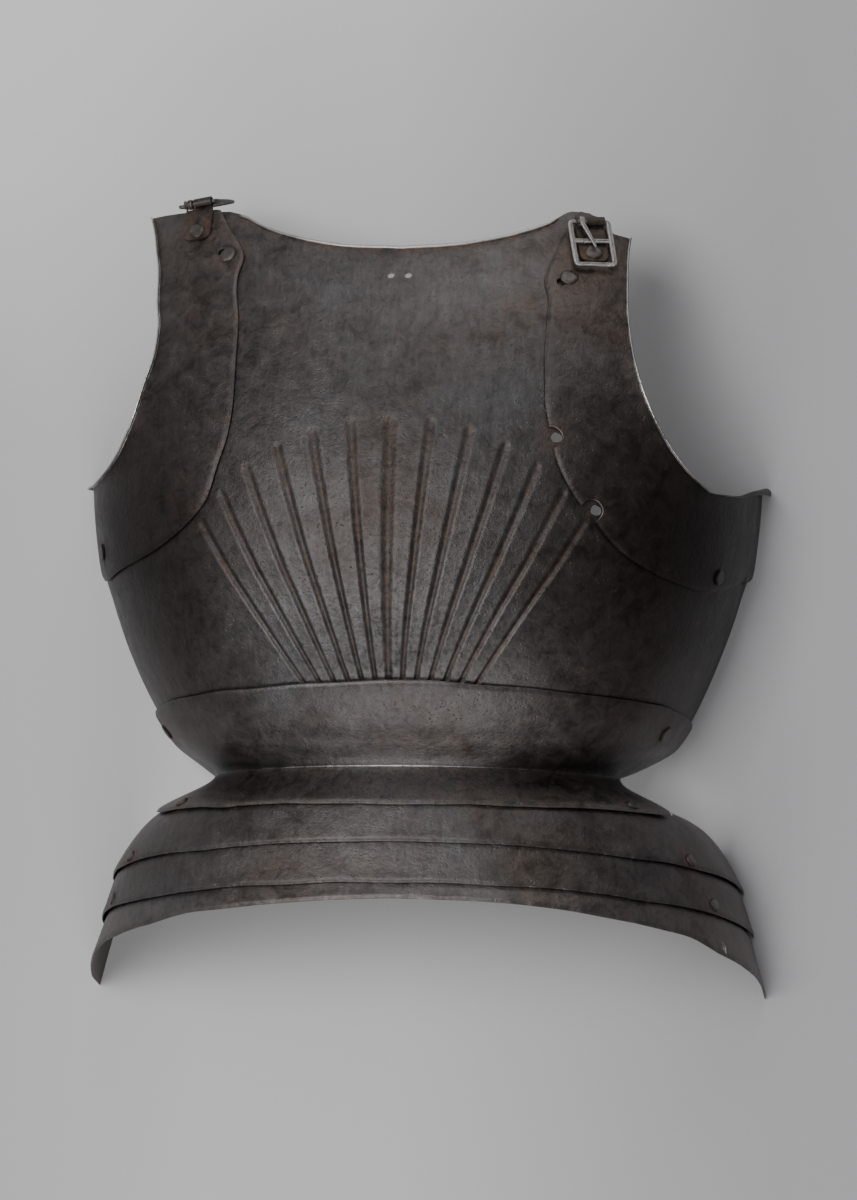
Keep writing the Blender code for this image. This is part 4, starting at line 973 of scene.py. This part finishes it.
def strap_plate(side):
    """A strip folded round the hinge bar: the knuckle is an arc and the leaf lies on the gusset. Near the tip the
    half width follows a quarter circle, so that the lower corners are round."""
    eye = strap_eye(side)
    middle = EYE_RADIUS - LEAF_THICKNESS / 2
    turn = np.radians(np.linspace(175, -90, 40))
    knuckle = np.stack([middle * np.cos(turn), middle * np.sin(turn)], axis=1)
    facing = np.stack([np.cos(turn), np.sin(turn)], axis=1)
    to_corners = np.sin(np.linspace(0, 1, 16)[1:] * math.pi / 2)
    reach = np.concatenate([np.linspace(0, 0.75, 16)[1:], 0.75 + 0.25 * to_corners])
    leaf = np.stack([-LEAF_LENGTH * reach, np.full(len(reach), -middle)], axis=1)
    line = np.concatenate([knuckle, leaf])
    facing = np.concatenate([-facing[:-1], -facing[-1:], np.tile((0.0, 1.0), (len(leaf), 1))])
    to_tip = np.concatenate([np.full(len(knuckle), 1.0), LEAF_LENGTH * (1 - reach)])
    past_corner = np.clip(LEAF_CORNER - to_tip, 0, LEAF_CORNER)
    inset = LEAF_CORNER - np.sqrt(np.clip(LEAF_CORNER**2 - np.square(past_corner), 0, None))
    half_width = LEAF_WIDTH / 2 - inset
    across = with_close_ends(np.linspace(-1, 1, 40), (0.02, 0.05, 0.10))
    x = half_width[:, None] * across
    wave = 0.00018 * clouds(x, line[:, :1], 0.007, 130 + side)
    half = LEAF_THICKNESS / 2
    above = line + facing * half
    below = line - facing * half
    on_leaf = np.concatenate([np.zeros(len(knuckle)), soft_step(reach, 0.1, 0.3)])[:, None]
    upper = np.stack([x, np.broadcast_to(above[:, :1], x.shape), above[:, 1:] + wave * on_leaf], axis=-1)
    lower_heights = np.broadcast_to(below[:, 1:], x.shape)
    lower = np.stack([x, np.broadcast_to(below[:, :1], x.shape), lower_heights], axis=-1)
    upper, lower = (placed(grid.reshape(-1, 3), eye).reshape(grid.shape)[::-1] for grid in (upper, lower))
    marks = np.zeros((*upper.shape[:2], 4))
    marks[..., 0] = edge_wear(upper, (0.25, 0.4, 0.25, 0.25), 0.0007)
    marks[..., 3] = 0.35 + 0.5 * rust_spots(upper)
    piece = plate_shell("strap_plate_steel_" + SIDE_NAMES[side], upper, lower, marks)
    half_gap = TONGUE_WIDTH / 2 + TONGUE_PLAY
    notch_height = EYE_RADIUS * 1.3
    corners = ((-1, -1), (1, -1), (1, 1), (-1, 1))
    outline = [(x_side * half_gap, y_side * notch_height) for x_side, y_side in corners]
    notch = eye @ Matrix.Translation((TONGUE_OFFSET, 0.3 * EYE_RADIUS, 0))
    cut_holes(piece, [(notch, outline), (strap_rivet_seat(side), round_outline(RIVET_HOLE_RADIUS))])
    return piece


def wire(tree, kind, settings=None, **inputs):
    """Adds a shader node and sets its own settings, then each input to a value or from another output."""
    made = tree.nodes.new("ShaderNode" + kind)
    for key, value in (settings or {}).items():
        setattr(made, key, value)
    for key, value in inputs.items():
        socket = made.inputs[int(key[1:]) if key[1:].isdigit() else key.replace("_", " ")]
        if isinstance(value, bpy.types.NodeSocket):
            tree.links.new(value, socket)
        else:
            socket.default_value = value
    return made


def maths(tree, operation, first, second=0.0, clamp=False):
    made = wire(tree, "Math", {"operation": operation, "use_clamp": clamp}, i0=first, i1=second)
    return made.outputs[0]


def noise(tree, place, scale, detail=4.0, roughness=0.55, distortion=0.0):
    values = {"Scale": scale, "Detail": detail, "Roughness": roughness, "Distortion": distortion}
    return wire(tree, "TexNoise", None, Vector=place, **values).outputs[0]


def stretched(tree, value, low, high, to_low=0.0, to_high=1.0):
    """The value's range from low to high, made to run from to_low to to_high and held there."""
    made = wire(tree, "MapRange", {"clamp": True}, i0=value, i1=low, i2=high, i3=to_low, i4=to_high)
    return made.outputs[0]


def blend(tree, share, first, second, mode="MIX"):
    made = tree.nodes.new("ShaderNodeMix")
    made.data_type = "RGBA"
    made.blend_type = mode
    made.clamp_factor = True
    for index, value in ((0, share), (6, first), (7, second)):
        if isinstance(value, bpy.types.NodeSocket):
            tree.links.new(value, made.inputs[index])
        else:
            made.inputs[index].default_value = (*value, 1.0) if isinstance(value, tuple) else value
    return made.outputs[2]


def group_tree(name, inputs, outputs):
    tree = bpy.data.node_groups.new(name, "ShaderNodeTree")
    for label, kind, value in inputs:
        socket = tree.interface.new_socket(label, in_out="INPUT", socket_type=kind)
        socket.default_value = value
    for label, kind in outputs:
        tree.interface.new_socket(label, in_out="OUTPUT", socket_type=kind)
    return tree, tree.nodes.new("NodeGroupInput").outputs, tree.nodes.new("NodeGroupOutput").inputs


def aged_steel_group():
    """Old steel under a brown-black skin: bluish clouds where it is worn, specks and pits, reddish rust where
    marks say so, and bright metal on edges. marks holds polish, which on some plates also carries painted
    highlights, rust, ridge and stain. Painted shade darkens the steel towards the sides, browner there, across
    the lower chest above the waist and on the flange under the crease."""
    numbers = "NodeSocketFloat"
    defaults = {"Worn": 0.5, "Rust": 0.5, "Bright": 1.0, "Lightness": 1.0, "Flank shade low": 0.2}
    inputs = [(label, numbers, value) for label, value in defaults.items()]
    outputs = [("Color", "NodeSocketColor")]
    outputs += [(label, numbers) for label in ("Roughness", "Metallic", "Height")]
    tree, given, wanted = group_tree("aged_steel", inputs, outputs)
    place = wire(tree, "TexCoord").outputs["Object"]
    marks = wire(tree, "Attribute", {"attribute_name": "marks"})
    parts = wire(tree, "SeparateColor", None, Color=marks.outputs["Color"]).outputs
    polish, hollow, ridge, stain = parts[0], parts[1], parts[2], marks.outputs["Alpha"]

    broad = noise(tree, place, 11.0, 5.0, 0.62, 0.4)
    mottle = noise(tree, place, 95.0, 7.0, 0.68, 0.6)
    specks = noise(tree, place, 620.0, 4.0, 0.6)
    drawn_out = wire(tree, "Mapping", None, Vector=place, Scale=(420.0, 40.0, 160.0)).outputs[0]
    grain = noise(tree, drawn_out, 1.0, 3.0, 0.5)
    fine = noise(tree, place, 330.0, 6.0, 0.70, 0.3)
    broken = noise(tree, place, 48.0, 5.0, 0.65, 0.8)
    cells = wire(tree, "TexVoronoi", {"feature": "F1"}, Vector=place, Scale=430.0, Randomness=1.0)
    pits = cells.outputs["Distance"]

    brown = blend(tree, stretched(tree, mottle, 0.36, 0.66), (0.047, 0.038, 0.034), (0.112, 0.093, 0.083))
    worn = blend(tree, stretched(tree, grain, 0.3, 0.7), (0.112, 0.117, 0.124), (0.172, 0.175, 0.184))
    uneven = stretched(tree, mottle, 0.30, 0.75, -0.15, 0.15)
    bare = maths(tree, "ADD", stretched(tree, broad, 0.34, 0.70), uneven)
    bare = maths(tree, "MULTIPLY", bare, given["Worn"], True)
    colour = blend(tree, bare, brown, worn)
    colour = blend(tree, stretched(tree, specks, 0.62, 0.74, 0.0, 0.40), colour, (0.035, 0.028, 0.025))
    colour = blend(tree, stretched(tree, fine, 0.52, 0.68, 0.0, 0.45), colour, (0.118, 0.080, 0.064))
    colour = blend(tree, stretched(tree, fine, 0.46, 0.32, 0.0, 0.55), colour, (0.045, 0.040, 0.038))
    lift = maths(tree, "MULTIPLY", maths(tree, "MULTIPLY", ridge, 0.60), stretched(tree, fine, 0.34, 0.60))
    colour = blend(tree, lift, colour, (0.235, 0.232, 0.232))

    rusty = blend(tree, stretched(tree, fine, 0.4, 0.64), (0.070, 0.044, 0.032), (0.165, 0.098, 0.064))
    in_hollow = maths(tree, "MULTIPLY", hollow, stretched(tree, fine, 0.38, 0.62, 0.15, 0.85))
    in_hollow = maths(tree, "MULTIPLY", in_hollow, stretched(tree, broken, 0.40, 0.60, 0.25, 1.0))
    in_stain = maths(tree, "MULTIPLY", stain, stretched(tree, mottle, 0.40, 0.58))
    loose = stretched(tree, noise(tree, place, 34.0, 8.0, 0.72, 1.2), 0.60, 0.74, 0.0, 0.45)
    rust = maths(tree, "MAXIMUM", maths(tree, "MAXIMUM", in_hollow, in_stain), loose)
    rust = maths(tree, "MULTIPLY", rust, given["Rust"], True)
    colour = blend(tree, rust, colour, rusty)
    # Painted shade: darker towards the sides, most at mid height and less towards the shoulders and the lowest
    # lames, with green and blue taken down further for a brown cast
    spot = wire(tree, "SeparateXYZ", None, Vector=place).outputs
    flank_shade = stretched(tree, maths(tree, "ABSOLUTE", spot[0]), 0.075, 0.170)
    flank_shade = maths(tree, "MULTIPLY", flank_shade, stretched(tree, spot[1], 0.13, 0.05, 0.20, 0.80))
    flank_shade = maths(tree, "MULTIPLY", flank_shade, stretched(tree, spot[1], -0.110, -0.060, given["Flank shade low"], 1.0))
    tone = maths(tree, "MULTIPLY", given["Lightness"], maths(tree, "SUBTRACT", 1.0, flank_shade))
    # Painted shade: darker across the lower chest above the waist
    above_waist = stretched(tree, spot[1], -0.050, 0.005)
    belly = maths(tree, "MULTIPLY", stretched(tree, spot[1], 0.165, 0.115), above_waist)
    tone = maths(tree, "MULTIPLY", tone, maths(tree, "SUBTRACT", 1.0, maths(tree, "MULTIPLY", belly, 0.30)))
    # Painted shade: darker on the flange just under the crease
    skirt_shade = stretched(tree, spot[1], CREASE_Y + 0.0015, CREASE_Y - 0.0010)
    skirt_shade = maths(tree, "MULTIPLY", skirt_shade, stretched(tree, spot[1], CREASE_Y - 0.0230, CREASE_Y - 0.0200))
    tone = maths(tree, "MULTIPLY", tone, maths(tree, "SUBTRACT", 1.0, maths(tree, "MULTIPLY", skirt_shade, 0.42)))
    green = maths(tree, "MULTIPLY", tone, maths(tree, "SUBTRACT", 1.0, maths(tree, "MULTIPLY", flank_shade, 0.16)))
    blue = maths(tree, "MULTIPLY", tone, maths(tree, "SUBTRACT", 1.0, maths(tree, "MULTIPLY", flank_shade, 0.22)))
    # Lightness times the painted shade, as one colour to multiply by
    shade_tint = wire(tree, "CombineColor", None, i0=tone, i1=green, i2=blue).outputs[0]
    colour = blend(tree, 1.0, colour, shade_tint, "MULTIPLY")

    ragged = stretched(tree, maths(tree, "ADD", polish, maths(tree, "MULTIPLY", mottle, 0.7)), 0.78, 1.25)
    shine = maths(tree, "MULTIPLY", ragged, given["Bright"], True)
    colour = blend(tree, shine, colour, (0.54, 0.53, 0.515))

    rough = stretched(tree, mottle, 0.3, 0.7, 0.40, 0.54)
    rough = maths(tree, "ADD", rough, maths(tree, "MULTIPLY", bare, -0.06))
    rough = maths(tree, "ADD", rough, maths(tree, "MULTIPLY", rust, 0.16))
    rough = maths(tree, "ADD", rough, maths(tree, "MULTIPLY", shine, -0.14))
    metal = maths(tree, "SUBTRACT", 0.92, maths(tree, "MULTIPLY", rust, 0.45))
    dips = stretched(tree, pits, 0.0, 0.32, -0.7, 0.0)
    dips = maths(tree, "MULTIPLY", dips, stretched(tree, mottle, 0.48, 0.62))
    height = maths(tree, "ADD", maths(tree, "MULTIPLY", mottle, 0.8), maths(tree, "MULTIPLY", fine, 0.7))
    height = maths(tree, "ADD", height, maths(tree, "ADD", dips, maths(tree, "MULTIPLY", rust, 0.25)))
    for label, value in (("Color", colour), ("Roughness", rough), ("Metallic", metal), ("Height", height)):
        tree.links.new(value, wanted[label])
    return tree


AGED_STEEL = aged_steel_group()


def aged_steel(name, worn, rust, bright, lightness, relief=0.5):
    """One piece's own steel: the shared group with its values, a bump from its height and the shader."""
    material = bpy.data.materials.new(name)
    material.use_nodes = True
    tree = material.node_tree
    shader = tree.nodes["Principled BSDF"]
    values = {"Worn": worn, "Rust": rust, "Bright": bright, "Lightness": lightness}
    steel = wire(tree, "Group", {"node_tree": AGED_STEEL}, **values)
    bump = wire(tree, "Bump", None, Strength=relief, Distance=0.0007, Height=steel.outputs["Height"])
    for label in ("Color", "Roughness", "Metallic"):
        tree.links.new(steel.outputs[label], shader.inputs["Base Color" if label == "Color" else label])
    tree.links.new(bump.outputs["Normal"], shader.inputs["Normal"])
    return material


def dress(piece, node, body, material, angle=40):
    """Gives a piece its shading, steel, body and slot, and hides the imported part of the node that it stands for.
    """
    smooth_shading(piece, angle)
    piece.data.materials.clear()
    piece.data.materials.append(material)
    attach(piece, body)
    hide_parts(node)


def make_plates():
    breast = aged_steel("breast_steel", 0.66, 0.9, 0.8, 1.06, 0.65)
    dress(breastplate(), "breastplate", "body", breast)
    for side, label in SIDE_NAMES.items():
        steel = aged_steel("gusset_steel_" + label, 0.46, 0.8, 1.0, 1.12, 0.65)
        dress(gusset(side), "gusset_" + label, "gusset_" + label, steel)
    waist = aged_steel("waist_steel", 0.72, 0.8, 1.0, 1.18, 0.65)
    dress(waist_plate(), "waist_plate", "body", waist)
    for number in range(3):
        lightness = (0.97, 0.98, 1.28)[number]
        steel = aged_steel("lame_steel_" + str(number + 1), 0.55, 0.8, 1.0, lightness, 0.65)
        body = "fauld_lame_" + str(number + 1)
        dress(lame(number), body, body, steel)


def make_rivets():
    grip = 2 * PLATE + LAYER_GAP + SEAT_GAP
    steel = aged_steel("rivet_steel", 0.35, 0.9, 0.25, 0.95, 0.7)
    outer = PLATE + LAYER_GAP
    for side, label in SIDE_NAMES.items():
        for level, places in (("upper", UPPER_RIVETS), ("lower", LOWER_RIVETS)):
            place = seat(places[side][0], station(places[side][1]), outer)
            name = "gusset_rivet_" + level + "_" + label
            piece = rivet(name + "_steel", place, grip, HEAD_RADIUS, 20 + side, 0.0004)
            dress(piece, name, "body", steel, 60)
        place = strap_rivet_seat(side) @ Matrix.Translation((0, 0, LEAF_THICKNESS))
        name = "strap_rivet_" + label
        rise = (LEAF_WIDTH / 2 + RIVET_TAIL_RADIUS) * math.sin(math.radians(STRAP_ROCKS[side]))
        strap_grip = LEAF_THICKNESS + 2 * PLATE + LAYER_GAP + 6 * SEAT_GAP + rise
        piece = rivet(name + "_steel", place, strap_grip, HEAD_RADIUS, 30 + side, 0.0004)
        dress(piece, name, "body", steel, 60)
        name = "waist_rivet_" + label
        place = seat(side * WAIST_RIVET[0], station(WAIST_RIVET[1]), outer)
        piece = rivet(name + "_steel", place, grip, HEAD_RADIUS, 35 + side, 0.0005)
        dress(piece, name, "body", steel, 60)
        for number, (around, share) in enumerate(FAULD_RIVETS):
            place = seat(side * around, fauld_station(share), outer - number * (PLATE + LAME_GAP))
            name = "fauld_rivet_" + str(number + 1) + "_" + label
            body = "body" if number == 0 else "fauld_lame_" + str(number)
            lame_grip = 2 * PLATE + LAME_GAP + SEAT_GAP
            piece = rivet(name + "_steel", place, lame_grip, FAULD_HEAD_RADIUS, 50 + 3 * number + side, 0.0003)
            dress(piece, name, body, steel, 60)


def make_straps():
    plate = aged_steel("strap_steel", 0.35, 1.0, 0.6, 0.9, 0.7)
    bright = aged_steel("buckle_steel_worn", 0.9, 0.95, 0.75, 1.45, 1.6)
    # A painted shade copy of the steel, darker and with little polish, for the left buckle and tongue
    dark = aged_steel("buckle_steel_painted_shade", 0.3, 0.8, 0.15, 0.6, 0.6)
    for side, label in SIDE_NAMES.items():
        dress(strap_plate(side), "strap_plate_" + label, "body", plate)
        steel = bright if side > 0 else dark
        dress(buckle(side), "buckle_" + label, "buckle_" + label, steel, 60)
        dress(tongue(side), "tongue_" + label, "tongue_" + label, steel, 60)


def make_floor():
    """A pale floor with painted light and shade, as in the photograph: paler towards the top, and a little darker
    to the right and beside the left of the piece.
    """
    bm = bmesh.new()
    bmesh.ops.create_grid(bm, x_segments=1, y_segments=1, size=6.0)
    bmesh.ops.translate(bm, verts=bm.verts, vec=(0, 0, -0.0002))
    mesh = bpy.data.meshes.new("floor")
    bm.to_mesh(mesh)
    bm.free()
    floor = bpy.data.objects.new("floor", mesh)
    bpy.context.scene.collection.objects.link(floor)
    material = bpy.data.materials.new("floor_grey")
    material.use_nodes = True
    tree = material.node_tree
    shader = tree.nodes["Principled BSDF"]
    spot = wire(tree, "SeparateXYZ", None, Vector=wire(tree, "TexCoord").outputs["Object"]).outputs
    # Painted shade: darker to the right, and at the left below the neck; painted light: paler towards the top
    right = stretched(tree, spot[0], -0.02, 0.21)
    below_neck = stretched(tree, spot[1], 0.26, 0.10, 0.0, 0.5)
    left = maths(tree, "MULTIPLY", stretched(tree, spot[0], -0.14, -0.26), below_neck)
    pale = blend(tree, stretched(tree, spot[1], 0.10, 0.34), (0.675, 0.670, 0.672), (0.735, 0.735, 0.740))
    pale = blend(tree, maths(tree, "MAXIMUM", right, left), pale, (0.455, 0.447, 0.460))
    tree.links.new(pale, shader.inputs["Base Color"])
    shader.inputs["Roughness"].default_value = 0.9
    shader.inputs["Specular IOR Level"].default_value = 0.1
    mesh.materials.append(material)


def soft_light(name, place, target, size, power, colour=(1.0, 1.0, 1.0)):
    light = bpy.data.lights.new(name, "AREA")
    light.shape = "RECTANGLE"
    light.size, light.size_y = size
    light.energy = power
    light.color = colour
    lamp = bpy.data.objects.new(name, light)
    lamp.location = place
    lamp.rotation_euler = (Vector(target) - Vector(place)).to_track_quat("-Z", "Y").to_euler()
    bpy.context.scene.collection.objects.link(lamp)


def make_studio():
    world = bpy.data.worlds.new("studio")
    world.use_nodes = True
    world.node_tree.nodes["Background"].inputs["Color"].default_value = (0.80, 0.81, 0.83, 1.0)
    world.node_tree.nodes["Background"].inputs["Strength"].default_value = 0.28
    bpy.context.scene.world = world
    soft_light("front_softbox", (-0.75, 0.50, 2.7), (0, 0.1, 0), (1.2, 1.2), 45)
    soft_light("neck_softbox", (0.40, 2.2, 1.10), (0, 0.05, 0.1), (1.6, 0.9), 14)
    soft_light("foot_softbox", (-0.05, -1.9, 1.35), (0, -0.05, 0.1), (1.6, 0.8), 17)
    soft_light("left_softbox", (-2.3, 0.3, 1.25), (0, 0.0, 0.05), (1.2, 1.6), 3)


def make_camera():
    """The photograph looks almost straight down, from 7.5 degrees to the right of upright."""
    camera = bpy.data.cameras.new("camera")
    camera.lens = 120
    camera.sensor_width = 36
    tilt = math.radians(7.5)
    viewer = bpy.data.objects.new("camera", camera)
    place = Vector((math.sin(tilt), 0, math.cos(tilt))) * 2.4
    back = place.normalized()
    right = Vector((0, 1, 0)).cross(back).normalized()
    up = back.cross(right)
    turn = Matrix((right, up, back)).transposed().to_4x4()
    viewer.matrix_world = Matrix.Translation(place) @ turn
    bpy.context.scene.collection.objects.link(viewer)
    bpy.context.scene.camera = viewer


make_camera()
make_floor()
make_studio()
make_plates()
make_straps()
make_rivets()
